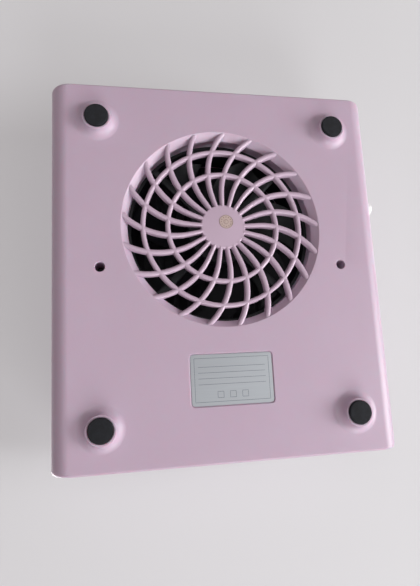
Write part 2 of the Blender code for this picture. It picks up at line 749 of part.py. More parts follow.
def top_shell(frame):
    """Cover: deck with hand rest, round filter well and six screw posts."""
    centre = (0, FAN_OFFSET)
    cover = solid("cover", upper_body(0.0, PART_Z + GAP, DECK_Z, 8))
    cavity = solid("cavity", upper_body(WALL, PART_Z - OVERRUN, DECK_Z - WALL, 8))
    islands = bmesh.new()
    outer = WELL_BORE_RADIUS + WELL_WALL
    cylinder(islands, outer, LEDGE_Z, DECK_Z, ROUND_STEPS, centre)
    case_low = FACE_Z + CASE_WELL_DEPTH + BOSS_SEAT + GAP
    posts = [(place, case_low) for place in case_screws()]
    posts += [(place, foot_boss_z() + GAP) for place in feet()]
    combine(cavity, solid("islands", islands), "DIFFERENCE")
    combine(cover, cavity, "DIFFERENCE")

    pillars = bmesh.new()
    for place, low in posts:
        front = place[1] < -(BODY_DEPTH / 2 - HAND_REST_LENGTH)
        fall = rest_drop(place[1] - WELL_RADIUS, HAND_REST_LENGTH, BODY_DEPTH / 2, HAND_REST_DROP)
        high = DECK_Z - WALL / 2 - (fall if front else 0.0)
        cylinder(pillars, SCREW_RADIUS + SCREW_CLEARANCE + BOSS_WALL, low, high, TINY_STEPS, place)
    combine(cover, solid("pillars", pillars), "UNION")

    cuts = bmesh.new()
    revolve(cuts, [
        (0, LEDGE_Z - OVERRUN), (DUCT_RADIUS, LEDGE_Z - OVERRUN), (DUCT_RADIUS, LEDGE_TOP_Z),
        (WELL_BORE_RADIUS, LEDGE_TOP_Z), (WELL_BORE_RADIUS, DECK_Z + OVERRUN),
        (0, DECK_Z + OVERRUN),
    ], ROUND_STEPS, centre)
    for place, low in posts:
        cylinder(cuts, SCREW_RADIUS + SCREW_CLEARANCE, low - OVERRUN, low + SCREW_BITE + OVERRUN,
                 TINY_STEPS, place)
    combine(cover, solid("cuts", cuts), "DIFFERENCE")
    rebate = lower_body(WALL / 2 - GAP, FACE_Z, PART_Z + LIP_HEIGHT + GAP)
    combine(cover, solid("rebate", rebate), "DIFFERENCE")
    return finish_solid(cover, "top_shell", "abs_shell", frame)


def foot_pads(frame):
    """Four round rubber pads, each standing in its foot's recess."""
    for corner, foot in zip(CORNERS, feet()):
        shape = bmesh.new()
        revolve(shape, [
            (0, 0), (PAD_RADIUS - PAD_CHAMFER, 0), (PAD_RADIUS, PAD_CHAMFER),
            (PAD_RADIUS, PAD_THICKNESS), (0, PAD_THICKNESS),
        ], ROUND_PAD_STEPS, foot)
        solid("foot_pad_" + corner, shape, "rubber", frame)


def pan_screw(shape, radius, head_radius, seat, length, centre, direction=1):
    """A screw whose head sits below its seat and whose shank runs up (or down at -1)."""
    head = SCREW_HEAD_HEIGHT * head_radius / SCREW_HEAD_RADIUS
    revolve(shape, [
        (0, seat - direction * head), (head_radius - head / 3, seat - direction * head),
        (head_radius, seat), (radius, seat),
        (radius, seat + direction * (length - radius)), (0, seat + direction * length),
    ], TINY_STEPS, centre)


def housing_screws(frame):
    """The two screws seen from below, and the four hidden over the pads."""
    length = BOSS_SEAT + SCREW_BITE
    for side, place in zip(SIDES, case_screws()):
        shape = bmesh.new()
        seat = FACE_Z + CASE_WELL_DEPTH
        pan_screw(shape, SCREW_RADIUS, SCREW_HEAD_RADIUS, seat - GAP, length, place)
        solid("case_screw_" + side, shape, "steel", frame)
    for corner, place in zip(CORNERS, feet()):
        shape = bmesh.new()
        pan_screw(shape, SCREW_RADIUS, SCREW_HEAD_RADIUS, foot_well_z() - GAP, length, place)
        solid("foot_screw_" + corner, shape, "steel", frame)


def rating_plate(frame):
    """Bare rating label in its shallow pocket."""
    shape = bmesh.new()
    outline = rounded_rectangle(PLATE_WIDTH / 2, PLATE_DEPTH / 2, PLATE_CORNER, 3, (0, PLATE_Y))
    high = FACE_Z + PLATE_POCKET - GAP
    prism(shape, outline, high - PLATE_THICKNESS, high)
    solid("rating_plate", shape, "label_film", frame)


def fan_frame(axis):
    """Square fan frame: two flanges, a barrel, four struts and the motor's tube."""
    half = FAN_SIZE / 2
    shape = bmesh.new()
    square = rounded_rectangle(half, half, FAN_CORNER, 3)
    prism(shape, square, FAN_Z, FAN_TOP_Z)
    body = solid("body", shape)

    waist = bmesh.new()
    barrel = FAN_BORE_RADIUS + FAN_BARREL_WALL
    reach = 2 * half
    revolve(waist, [
        (barrel, FAN_Z + FAN_FLANGE), (reach, FAN_Z + FAN_FLANGE),
        (reach, FAN_TOP_Z - FAN_FLANGE), (barrel, FAN_TOP_Z - FAN_FLANGE),
    ], ROUND_STEPS)
    combine(body, solid("waist", waist), "DIFFERENCE")
    bore = bmesh.new()
    cylinder(bore, FAN_BORE_RADIUS, FAN_Z - OVERRUN, FAN_TOP_Z + OVERRUN, ROUND_STEPS)
    for x, y in fan_corners():
        cylinder(bore, FAN_HOLE_RADIUS, FAN_Z - OVERRUN, FAN_TOP_Z + OVERRUN, TINY_STEPS,
                 (x, y - FAN_OFFSET))
    combine(body, solid("bore", bore), "DIFFERENCE")

    spider = bmesh.new()
    middle = (FAN_BORE_RADIUS + MOTOR_PLATE_RADIUS) / 2
    length = FAN_BORE_RADIUS - MOTOR_PLATE_RADIUS + 2 * FAN_BARREL_WALL
    for strut in range(STRUT_COUNT):
        turn = 2 * math.pi * (strut + 0.5) / STRUT_COUNT
        outline = [
            (middle + sx * length / 2, sy * STRUT_WIDTH / 2)
            for sx, sy in ((-1, -1), (1, -1), (1, 1), (-1, 1))
        ]
        turned = [
            (x * math.cos(turn) - y * math.sin(turn), x * math.sin(turn) + y * math.cos(turn))
            for x, y in outline
        ]
        prism(spider, turned, FAN_Z + GAP, FAN_Z + GAP + STRUT_THICKNESS)
    combine(body, solid("spider", spider), "UNION")
    hub = bmesh.new()
    plate_top = FAN_Z + MOTOR_PLATE_THICKNESS
    revolve(hub, [
        (0, FAN_Z), (MOTOR_PLATE_RADIUS, FAN_Z), (MOTOR_PLATE_RADIUS, FAN_Z + STRUT_THICKNESS),
        (MOTOR_PLATE_RADIUS - FAN_BARREL_WALL, FAN_Z + STRUT_THICKNESS),
        (MOTOR_PLATE_RADIUS - FAN_BARREL_WALL, plate_top), (TUBE_STEP_RADIUS, plate_top),
        (TUBE_STEP_RADIUS, FAN_Z + TUBE_STEP_HEIGHT), (TUBE_RADIUS, FAN_Z + TUBE_STEP_HEIGHT),
        (TUBE_RADIUS, FAN_Z + TUBE_HEIGHT), (TUBE_BORE_RADIUS, FAN_Z + TUBE_HEIGHT),
        (TUBE_BORE_RADIUS, plate_top), (0, plate_top),
    ], MOTOR_STEPS)
    combine(body, solid("hub", hub), "UNION")
    finish_solid(body, "fan_frame", "black_pbt", axis)


def fan_screws(frame):
    """Four screws down through the fan frame into the tray's posts."""
    length = FAN_HEIGHT + THROAT_DEPTH - WALL - SCREW_HEAD_HEIGHT
    for corner, place in zip(CORNERS, fan_corners()):
        shape = bmesh.new()
        pan_screw(shape, FAN_SCREW_RADIUS, FAN_SCREW_HEAD, FAN_TOP_Z + GAP, length, place, -1)
        solid("fan_screw_" + corner, shape, "steel", frame)


def bearing_seats():
    """Lower faces of the two bearings in the motor's tube."""
    low = FAN_Z + MOTOR_PLATE_THICKNESS + GAP
    return low, FAN_Z + TUBE_HEIGHT - BEARING_WIDTH


def bearings(axis):
    """Two ball bearings, drawn as rings, that carry the shaft."""
    for name, low in zip(("lower_bearing", "upper_bearing"), bearing_seats()):
        shape = bmesh.new()
        outer = TUBE_BORE_RADIUS - GAP
        inner = SHAFT_RADIUS + SHAFT_CLEARANCE
        revolve(shape, [(outer, low), (outer, low + BEARING_WIDTH),
                        (inner, low + BEARING_WIDTH), (inner, low)], SMALL_STEPS)
        solid(name, shape, "steel", axis)


def cup_low():
    """Open rim of the rotor's cup."""
    return FAN_Z + HUB_CUP_FLOAT


def blade(shape, turn):
    """One blade: radial stations from root to tip, pitch easing off and leading edge swept."""
    root = HUB_CUP_RADIUS - HUB_CUP_WALL / 2
    tip = FAN_BORE_RADIUS - BLADE_TIP_GAP
    stations = 3
    chords = 3
    loops = []
    for station in range(stations + 1):
        share = station / stations
        radius = root + (tip - root) * share
        pitch_deg = BLADE_ROOT_PITCH_DEG + (BLADE_TIP_PITCH_DEG - BLADE_ROOT_PITCH_DEG) * share
        pitch = math.radians(pitch_deg)
        sweep = turn + math.radians(BLADE_SWEEP_DEG) * share * share
        upper, lower = [], []
        for step in range(chords + 1):
            along = step / chords - 0.5
            bulge = 1 - 4 * along * along
            half = (BLADE_EDGE + (BLADE_THICKNESS - BLADE_EDGE) * bulge) / 2
            camber = BLADE_THICKNESS * bulge
            level = FAN_Z + BLADE_MID_HEIGHT + BLADE_CHORD * math.sin(pitch) * along + camber
            angle = sweep + BLADE_CHORD * math.cos(pitch) * along / radius
            x, y = radius * math.cos(angle), radius * math.sin(angle)
            upper.append(Vector((x, y, level + half)))
            lower.append(Vector((x, y, level - half)))
        loops.append(upper + lower[::-1])
    skin(shape, loops)


def fan_rotor(axis):
    """Hub cup with its blades and the boss that holds the shaft."""
    low = cup_low()
    high = low + HUB_CUP_HEIGHT
    roof = high - HUB_CUP_WALL
    hole = SHAFT_RADIUS + GAP
    boss = FAN_Z + TUBE_HEIGHT + SLIDE_GAP
    cup = bmesh.new()
    revolve(cup, [
        (HUB_CUP_RADIUS, low), (HUB_CUP_RADIUS, high - HUB_CUP_ROUND),
        (HUB_CUP_RADIUS - HUB_CUP_ROUND / 3, high - HUB_CUP_ROUND / 3),
        (HUB_CUP_RADIUS - HUB_CUP_ROUND, high), (hole, high), (hole, boss),
        (CUP_BOSS_RADIUS, boss), (CUP_BOSS_RADIUS, roof),
        (HUB_CUP_RADIUS - HUB_CUP_WALL, roof), (HUB_CUP_RADIUS - HUB_CUP_WALL, low),
    ], MOTOR_STEPS)
    rotor = solid("rotor", cup)
    blades = bmesh.new()
    for index in range(BLADE_COUNT):
        blade(blades, 2 * math.pi * index / BLADE_COUNT)
    combine(rotor, solid("blades", blades), "UNION")
    finish_solid(rotor, "fan_rotor", "black_pbt", axis)


def rotor_shaft(axis):
    """Steel shaft fixed in the cup's boss, running in both bearings."""
    shape = bmesh.new()
    low = bearing_seats()[0]
    high = cup_low() + HUB_CUP_HEIGHT - GAP
    tip = SHAFT_RADIUS / 3
    revolve(shape, [
        (0, low), (SHAFT_RADIUS - tip, low), (SHAFT_RADIUS, low + tip),
        (SHAFT_RADIUS, high - tip), (SHAFT_RADIUS - tip, high), (0, high),
    ], SMALL_STEPS)
    solid("rotor_shaft", shape, "steel", axis)


def magnet_outer():
    """Outer radius of the magnet ring, inside the cup."""
    return HUB_CUP_RADIUS - HUB_CUP_WALL - GAP


def rotor_magnet(axis):
    """Ferrite ring glued inside the cup."""
    shape = bmesh.new()
    outer = magnet_outer()
    inner = outer - MAGNET_THICKNESS
    high = cup_low() + HUB_CUP_HEIGHT - HUB_CUP_WALL - GAP
    low = high - MAGNET_HEIGHT
    revolve(shape, [(outer, low), (outer, high), (inner, high), (inner, low)], MOTOR_STEPS)
    solid("rotor_magnet", shape, "ferrite", axis)


def pole_reach():
    """Outer radius of the poles and the flat shoulder where each head starts."""
    reach = magnet_outer() - MAGNET_THICKNESS - STATOR_AIR_GAP
    return reach, reach * math.cos(math.radians(POLE_HEAD_HALF_DEG)) - POLE_HEAD_DEPTH


def stator_core(axis):
    """Laminated core: a ring on the tube with four T-shaped poles."""
    low = FAN_Z + TUBE_STEP_HEIGHT + GAP
    high = low + STATOR_HEIGHT
    reach, neck = pole_reach()
    ring = TUBE_STEP_RADIUS + POLE_HEAD_DEPTH
    half = POLE_WIDTH / 2
    head = math.radians(POLE_HEAD_HALF_DEG)
    wide = reach * math.sin(head)
    arc = [(reach * math.cos(head * share), reach * math.sin(head * share))
           for share in (-1.0, -0.5, 0.0, 0.5, 1.0)]
    tee = [(ring, -half), (neck, -half), (neck, -wide)] + arc
    tee += [(neck, wide), (neck, half), (ring, half)]
    outline = []
    for pole in range(POLE_COUNT):
        turn = 2 * math.pi * pole / POLE_COUNT
        outline += [
            (x * math.cos(turn) - y * math.sin(turn), x * math.sin(turn) + y * math.cos(turn))
            for x, y in tee
        ]
    shape = bmesh.new()
    prism(shape, outline, low, high)
    core = solid("core", shape)
    hole = bmesh.new()
    cylinder(hole, TUBE_RADIUS + GAP, low - OVERRUN, high + OVERRUN, SMALL_STEPS)
    combine(core, solid("hole", hole), "DIFFERENCE")
    finish_solid(core, "stator_core", "steel", axis)


def stator_windings(axis):
    """A copper coil round the neck of each pole."""
    low = FAN_Z + TUBE_STEP_HEIGHT + GAP
    high = low + STATOR_HEIGHT
    outer = pole_reach()[1] - GAP
    inner = outer - COIL_LENGTH
    side = POLE_WIDTH / 2 + GAP
    for pole in range(POLE_COUNT):
        turn = 2 * math.pi * pole / POLE_COUNT
        loops = []
        for radius, grow in ((inner, 0), (outer, 0), (outer, COIL_DEPTH), (inner, COIL_DEPTH)):
            loop = []
            for sy, sz in ((-1, -1), (1, -1), (1, 1), (-1, 1)):
                across = sy * (side + grow)
                level = (low - GAP - grow) if sz < 0 else (high + GAP + grow)
                loop.append(Vector((
                    radius * math.cos(turn) - across * math.sin(turn),
                    radius * math.sin(turn) + across * math.cos(turn), level)))
            loops.append(loop)
        shape = skin(bmesh.new(), loops, closed=True)
        solid("stator_winding_" + str(pole + 1), shape, "copper_wire", axis)


def motor_board(axis):
    """Ring-shaped driver board on the motor plate, under the stator."""
    low = FAN_Z + MOTOR_PLATE_THICKNESS + GAP
    inner = TUBE_STEP_RADIUS + GAP
    shape = bmesh.new()
    revolve(shape, [(MOTOR_BOARD_RADIUS, low), (MOTOR_BOARD_RADIUS, low + BOARD_THICKNESS),
                    (inner, low + BOARD_THICKNESS), (inner, low)], MOTOR_STEPS)
    solid("motor_board", shape, "circuit_board", axis)


def filter_levels():
    """Heights of the cartridge: gasket's top and underside of the intake grille."""
    return LEDGE_TOP_Z + GAP + GASKET_THICKNESS, GRILLE_Z - GAP


def filter_gasket(axis):
    """Foam ring between the filter frame and the well's ledge."""
    shape = bmesh.new()
    low = LEDGE_TOP_Z + GAP
    outer = CARTRIDGE_RADIUS - SLIDE_GAP
    inner = outer - GASKET_WIDTH
    revolve(shape, [(outer, low), (outer, low + GASKET_THICKNESS),
                    (inner, low + GASKET_THICKNESS), (inner, low)], ROUND_STEPS)
    solid("filter_gasket", shape, "foam", axis)


def filter_frame(axis):
    """Plastic ring that holds the pleated media, with an inward foot below."""
    low = filter_levels()[0] + GAP
    high = filter_levels()[1]
    outer = CARTRIDGE_RADIUS - SLIDE_GAP
    inner = outer - FRAME_WALL
    shape = bmesh.new()
    revolve(shape, [
        (outer, low), (outer, high), (inner, high), (inner, low + FRAME_FOOT_THICKNESS),
        (inner - FRAME_FOOT, low + FRAME_FOOT_THICKNESS), (inner - FRAME_FOOT, low),
    ], ROUND_STEPS)
    solid("filter_frame", shape, "black_pbt", axis)


def filter_media(axis):
    """Pleated paper pack, cut round to fit inside the frame."""
    low = filter_levels()[0] + GAP + FRAME_FOOT_THICKNESS + GAP
    high = filter_levels()[1] - PLEAT_MARGIN
    radius = CARTRIDGE_RADIUS - SLIDE_GAP - FRAME_WALL - GAP
    pitch = 2 * radius / PLEAT_COUNT
    slant = PLEAT_THICKNESS / 2 * math.hypot(pitch / 2, high - low) / (pitch / 2)
    ridge = []
    for fold in range(2 * PLEAT_COUNT + 3):
        x = (fold - PLEAT_COUNT - 1) * pitch / 2
        ridge.append((x, high - slant if fold % 2 else low + slant))
    outline = [(x, z + slant) for x, z in ridge] + [(x, z - slant) for x, z in ridge[::-1]]
    shape = bmesh.new()
    loops = [[Vector((x, y, z)) for x, z in outline] for y in (-2 * radius, 2 * radius)]
    skin(shape, loops)
    media = solid("media", shape)
    disc = bmesh.new()
    cylinder(disc, radius, low + GAP / 3, high - GAP / 3, ROUND_STEPS)
    combine(media, solid("disc", disc), "INTERSECT")
    finish_solid(media, "filter_media", "filter_paper", axis)


def intake_grille(axis):
    """Lift-out cover of the cartridge: rim, ring ribs, spokes, hub and a grip to lift by."""
    rim = CARTRIDGE_RADIUS - GRILLE_RIM
    shape = bmesh.new()
    edge = GRILLE_THICKNESS / 5
    revolve(shape, [
        (CARTRIDGE_RADIUS, GRILLE_Z), (CARTRIDGE_RADIUS, DECK_Z - edge),
        (CARTRIDGE_RADIUS - edge, DECK_Z), (rim + edge, DECK_Z), (rim, DECK_Z - edge),
        (rim, GRILLE_Z),
    ], ROUND_STEPS)
    cover = solid("cover_rim", shape)
    crest = DECK_Z + INTAKE_RIB_WIDTH / 2 - edge / 2
    spokes = bmesh.new()
    section = rib_section(INTAKE_RIB_WIDTH, INTAKE_RIB_DEPTH, 1)
    for spoke in range(INTAKE_SPOKE_COUNT):
        turn = 2 * math.pi * spoke / INTAKE_SPOKE_COUNT
        cosine, sine = math.cos(turn), math.sin(turn)
        loops = []
        for reach in (INTAKE_HUB_RADIUS - SPOKE_EMBED, rim + SPOKE_EMBED):
            loops.append([
                Vector((reach * cosine - across * sine, reach * sine + across * cosine, crest + up))
                for across, up in section
            ])
        skin(spokes, loops)
    ribs = solid("ribs", spokes)
    rings = bmesh.new()
    step = (rim - INTAKE_HUB_RADIUS) / (INTAKE_RING_COUNT + 1)
    for ring in range(INTAKE_RING_COUNT):
        rib_ring(rings, INTAKE_HUB_RADIUS + step * (ring + 1), section, crest, -1,
                 2 * INTAKE_SPOKE_COUNT, (0, 0))
    revolve(rings, [
        (0, GRILLE_Z), (INTAKE_HUB_RADIUS, GRILLE_Z), (INTAKE_HUB_RADIUS, DECK_Z - edge),
        (INTAKE_HUB_RADIUS - edge, DECK_Z), (0, DECK_Z),
    ], 2 * INTAKE_SPOKE_COUNT)
    combine(ribs, solid("rings", rings), "UNION")
    combine(cover, ribs, "UNION")
    grip = bmesh.new()
    outline = rounded_rectangle(GRIP_LENGTH / 2, GRIP_WIDTH / 2, GRIP_WIDTH / 2, 3)
    narrow = rounded_rectangle(GRIP_LENGTH / 2 - edge, GRIP_WIDTH / 2 - edge,
                               GRIP_WIDTH / 2 - edge, 3)
    skin(grip, [
        [Vector((x, y, DECK_Z - edge / 2)) for x, y in outline],
        [Vector((x, y, DECK_Z + GRIP_HEIGHT - edge)) for x, y in outline],
        [Vector((x, y, DECK_Z + GRIP_HEIGHT)) for x, y in narrow],
    ])
    combine(cover, solid("grip", grip), "UNION")
    finish_solid(cover, "intake_grille", "abs_shell", axis)


def power_switch(axis):
    """Bushing, nut, switch body and spring, with outward along the axis empty's +Z."""
    bore = BUTTON_RADIUS + BUTTON_GAP
    tube = bore + BUSHING_WALL
    shape = bmesh.new()
    round_edge = BUSHING_FLANGE / 3
    revolve(shape, [
        (bore, GAP + BUSHING_FLANGE - BUSHING_LENGTH), (tube, GAP + BUSHING_FLANGE - BUSHING_LENGTH),
        (tube, GAP), (BUSHING_FLANGE_RADIUS, GAP),
        (BUSHING_FLANGE_RADIUS, GAP + BUSHING_FLANGE - round_edge),
        (BUSHING_FLANGE_RADIUS - round_edge, GAP + BUSHING_FLANGE), (bore, GAP + BUSHING_FLANGE),
    ], SMALL_STEPS)
    solid("switch_bushing", shape, "abs_shell", axis)

    nut = bmesh.new()
    top = -WALL - GAP
    outline = circle(NUT_RADIUS, 6)
    prism(nut, outline, top - NUT_THICKNESS, top)
    nut_solid = solid("nut", nut)
    hole = bmesh.new()
    cylinder(hole, tube + GAP, top - NUT_THICKNESS - OVERRUN, top + OVERRUN, SMALL_STEPS)
    combine(nut_solid, solid("hole", hole), "DIFFERENCE")
    finish_solid(nut_solid, "switch_nut", "steel", axis)

    top = GAP + BUSHING_FLANGE - BUSHING_LENGTH - GAP
    half = SWITCH_SIZE / 2
    body = bmesh.new()
    block(body, (-half, -half, top - SWITCH_DEPTH), (half, half, top))
    body_solid = solid("body", body)
    hole = bmesh.new()
    cylinder(hole, PLUNGER_RADIUS + GAP, top - PLUNGER_HOLE_DEPTH, top + OVERRUN, TINY_STEPS)
    combine(body_solid, solid("hole", hole), "DIFFERENCE")
    finish_solid(body_solid, "switch_body", "black_pbt", axis)

    coil = bmesh.new()
    low = top + GAP + SPRING_WIRE
    high = -BUTTON_SKIRT - GAP - SPRING_WIRE
    sides = 4
    steps = 8 * SPRING_TURNS
    loops = []
    for step in range(steps + 1):
        turn = 2 * math.pi * SPRING_TURNS * step / steps
        middle = low + (high - low) * step / steps
        loop = []
        for side in range(sides):
            swing = 2 * math.pi * side / sides
            radius = SPRING_RADIUS + SPRING_WIRE * math.cos(swing)
            loop.append(Vector((radius * math.cos(turn), radius * math.sin(turn),
                                middle + SPRING_WIRE * math.sin(swing))))
        loops.append(loop)
    skin(coil, loops)
    solid("button_spring", coil, "steel", axis)


def power_button(axis):
    """Domed push button with the plunger that enters the switch."""
    rim = BUTTON_PROUD - BUTTON_DOME
    entry = GAP + BUSHING_FLANGE - BUSHING_LENGTH - GAP - PLUNGER_ENTRY
    shape = bmesh.new()
    steps = 4
    last = math.radians(DOME_ARC_DEG)
    dome = [
        (BUTTON_RADIUS * math.cos(last * step / steps),
         rim + BUTTON_DOME * math.sin(last * step / steps) / math.sin(last))
        for step in range(steps + 1)
    ]
    revolve(shape, [
        (0, entry), (PLUNGER_RADIUS, entry), (PLUNGER_RADIUS, -BUTTON_SKIRT),
        (BUTTON_RADIUS, -BUTTON_SKIRT),
    ] + dome + [(0, BUTTON_PROUD)], SMALL_STEPS)
    solid("power_button", shape, "white_button", axis)


def control_board(frame):
    """Driver board on its posts with its screws, capacitor and power inlet."""
    low = board_z()
    high = low + BOARD_THICKNESS
    half_x, half_y = BOARD_WIDTH / 2, BOARD_DEPTH / 2
    shape = bmesh.new()
    block(shape, (BOARD_X - half_x, board_y() - half_y, low),
          (BOARD_X + half_x, board_y() + half_y, high))
    board = solid("board", shape)
    holes = bmesh.new()
    for side, place in zip(SIDES, board_holes()):
        cylinder(holes, BOARD_SCREW_RADIUS + SCREW_CLEARANCE, low - OVERRUN, high + OVERRUN,
                 TINY_STEPS, place)
        screw = bmesh.new()
        pan_screw(screw, BOARD_SCREW_RADIUS, BOARD_SCREW_HEAD, high + GAP,
                  BOARD_THICKNESS + BOARD_SCREW_BITE, place, -1)
        solid("board_screw_" + side, screw, "steel", frame)
    combine(board, solid("holes", holes), "DIFFERENCE")
    finish_solid(board, "control_board", "circuit_board", frame)

    can = bmesh.new()
    base = high + GAP
    lip = CAPACITOR_RADIUS / 8
    place = (BOARD_X + CAPACITOR_SHARE * BOARD_WIDTH / 2, board_y())
    revolve(can, [
        (0, base), (CAPACITOR_RADIUS, base), (CAPACITOR_RADIUS, base + CAPACITOR_HEIGHT - lip),
        (CAPACITOR_RADIUS - lip, base + CAPACITOR_HEIGHT), (0, base + CAPACITOR_HEIGHT),
    ], SMALL_STEPS, place)
    solid("capacitor", can, "black_pbt", frame)


def power_inlet(axis):
    """Barrel inlet: box on the board, nose in the back wall, centre pin in its bore.

    Outward is the axis empty's +Z, measured from the wall's outer face.
    """
    nose = -INLET_SETBACK
    face = -WALL - GAP
    half = INLET_WIDTH / 2
    tall = INLET_HEIGHT / 2
    shape = bmesh.new()
    block(shape, (-half, -tall, face - INLET_DEPTH), (half, tall, face))
    inlet = solid("inlet", shape)
    front = bmesh.new()
    cylinder(front, INLET_NOSE_RADIUS, face - OVERRUN, nose, SMALL_STEPS)
    combine(inlet, solid("front", front), "UNION")
    bore = bmesh.new()
    revolve(bore, [
        (INLET_BORE_RADIUS, nose - INLET_BORE_DEPTH), (INLET_BORE_RADIUS, nose + OVERRUN),
        (INLET_PIN_RADIUS, nose + OVERRUN), (INLET_PIN_RADIUS, nose - INLET_BORE_DEPTH),
    ], SMALL_STEPS)
    combine(inlet, solid("bore", bore), "DIFFERENCE")
    tip = bmesh.new()
    cylinder(tip, 2 * INLET_PIN_RADIUS, nose - INLET_PIN_RADIUS, nose + 2 * OVERRUN, TINY_STEPS)
    combine(inlet, solid("tip", tip), "DIFFERENCE")
    finish_solid(inlet, "power_inlet", "black_pbt", axis)


def smooth_route(points, steps):
    """Points along a Catmull-Rom curve through a chosen route."""
    route = [Vector(point) for point in points]
    padded = [2 * route[0] - route[1]] + route + [2 * route[-1] - route[-2]]
    curve = []
    for start in range(len(route) - 1):
        a, b, c, d = padded[start:start + 4]
        for step in range(steps):
            t = step / steps
            curve.append(0.5 * (2 * b + (c - a) * t + (2 * a - 5 * b + 4 * c - d) * t * t
                                + (3 * b - a - 3 * c + d) * t * t * t))
    curve.append(route[-1])
    return curve


def lead(name, points, frame):
    """A sheathed lead tied down along a route, as a round tube with flat ends."""
    path = smooth_route(points, 3)
    sides = 6
    loops = []
    side = Vector((0, 0, 1))
    for index, point in enumerate(path):
        ahead = path[min(index + 1, len(path) - 1)] - path[max(index - 1, 0)]
        if index in (0, len(path) - 1):
            ahead.z = 0
        ahead.normalize()
        across = ahead.cross(side).normalized()
        up = across.cross(ahead).normalized()
        loops.append([
            point + LEAD_RADIUS * (across * math.cos(2 * math.pi * step / sides)
                                   + up * math.sin(2 * math.pi * step / sides))
            for step in range(sides)
        ])
    shape = bmesh.new()
    skin(shape, loops)
    solid(name, shape, "lead_sheath", frame)


def leads(frame):
    """Leads of the switch and the fan, tied down along the tray to the board."""
    start = LEAD_START - BODY_WIDTH / 2
    room = -FAN_SIZE / 2 - start
    back = BODY_DEPTH / 2
    end = BOARD_X - BOARD_WIDTH / 2
    route = [(start + share * room, back - y, z) for share, y, z in SWITCH_LEAD_SIDE]
    route += [(end + x, back - y, z) for x, y, z in SWITCH_LEAD_BOARD]
    lead("switch_lead", route, frame)
    lead("fan_lead", [(BOARD_X + x, back - y, z) for x, y, z in FAN_LEAD_BOARD], frame)


def main():
    """Build every piece under the frame that centres the whole."""
    clear_scene()
    frame = empty("collector_frame", None, (CENTRE_X, 0, 0))
    fan_axis = empty("fan_axis", frame, (0, FAN_OFFSET, 0))
    filter_axis = empty("filter_axis", frame, (0, FAN_OFFSET, 0))
    button_axis = empty("button_axis", frame, (-BODY_WIDTH / 2, BUTTON_Y, button_z()))
    button_axis.rotation_euler = (0, -math.pi / 2, 0)
    inlet_axis = empty("inlet_axis", frame, (INLET_X, BODY_DEPTH / 2, inlet_z()))
    inlet_axis.rotation_euler = (-math.pi / 2, 0, 0)

    bottom_shell(frame)
    top_shell(frame)
    foot_pads(frame)
    housing_screws(frame)
    rating_plate(frame)
    fan_frame(fan_axis)
    fan_screws(frame)
    bearings(fan_axis)
    stator_core(fan_axis)
    stator_windings(fan_axis)
    motor_board(fan_axis)
    fan_rotor(fan_axis)
    rotor_shaft(fan_axis)
    rotor_magnet(fan_axis)
    filter_gasket(filter_axis)
    filter_frame(filter_axis)
    filter_media(filter_axis)
    intake_grille(filter_axis)
    power_switch(button_axis)
    power_button(button_axis)
    control_board(frame)
    power_inlet(inlet_axis)
    leads(frame)


main()
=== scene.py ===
"""Looks of a table-top nail dust collector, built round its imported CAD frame.

The part stands on its four rubber pads at z = 0, its hand rest towards -Y and its power
button on the -X side. The camera looks up at the underside, where the swirl grille, the feet
and the bare rating label are. All lengths are in metres, in the frame of the CAD.
"""

from __future__ import annotations

import logging
import math
from dataclasses import dataclass
from enum import Enum
from typing import Any, Sequence

import bmesh
import bpy
import numpy as np
from mathutils import Matrix, Vector


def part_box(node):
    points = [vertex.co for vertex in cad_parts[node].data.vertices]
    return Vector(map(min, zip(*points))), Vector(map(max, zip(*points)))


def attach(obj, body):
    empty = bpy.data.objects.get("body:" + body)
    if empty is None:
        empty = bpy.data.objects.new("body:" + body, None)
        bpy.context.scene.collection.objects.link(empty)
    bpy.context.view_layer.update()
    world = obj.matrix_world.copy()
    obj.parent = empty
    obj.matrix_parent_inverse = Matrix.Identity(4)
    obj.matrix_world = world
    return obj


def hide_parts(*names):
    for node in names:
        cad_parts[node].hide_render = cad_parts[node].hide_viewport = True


LOG = logging.getLogger("dust_collector")
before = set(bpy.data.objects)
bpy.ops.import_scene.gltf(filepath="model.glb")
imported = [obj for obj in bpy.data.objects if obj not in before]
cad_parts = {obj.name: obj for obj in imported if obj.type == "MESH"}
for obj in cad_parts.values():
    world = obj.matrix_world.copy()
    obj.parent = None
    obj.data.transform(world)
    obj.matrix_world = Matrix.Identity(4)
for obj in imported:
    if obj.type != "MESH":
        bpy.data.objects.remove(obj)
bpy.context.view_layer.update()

Thing = bpy.types.Object
Pair = tuple[float, float]
Triple = tuple[float, float, float]
Socket = bpy.types.NodeSocket
Material = bpy.types.Material
OVER = 0.002  # how far a cutter reaches past what it cuts
SOFT = 0.0003  # radius of an edge that is only broken
FINE = 0.0002  # radius of an edge that is nearly sharp


class Body(Enum):
    """The bodies of the frame that a piece can ride on."""

    HOUSING = "housing"
    FAN = "fan"
    CARTRIDGE = "filter_cartridge"
    BUTTON = "button"


# ---- surfaces


@dataclass
class Surface:
    """A grid of points: rows follow the first parameter, columns the second."""

    points: np.ndarray
    ring_rows: bool = False

    def faces(self) -> tuple[np.ndarray, list[np.ndarray]]:
        """Quads between neighbouring points, and the two end faces of an open row of rings."""
        rows, columns = self.points.shape[:2]
        index = np.arange(rows * columns).reshape(rows, columns)
        ends = [] if self.ring_rows else [index[0], index[-1][::-1]]
        if self.ring_rows:
            index = np.vstack([index, index[:1]])
        index = np.hstack([index, index[:, :1]])
        quads = np.stack([index[:-1, :-1], index[1:, :-1], index[1:, 1:], index[:-1, 1:]], -1)
        return quads.reshape(-1, 4), ends


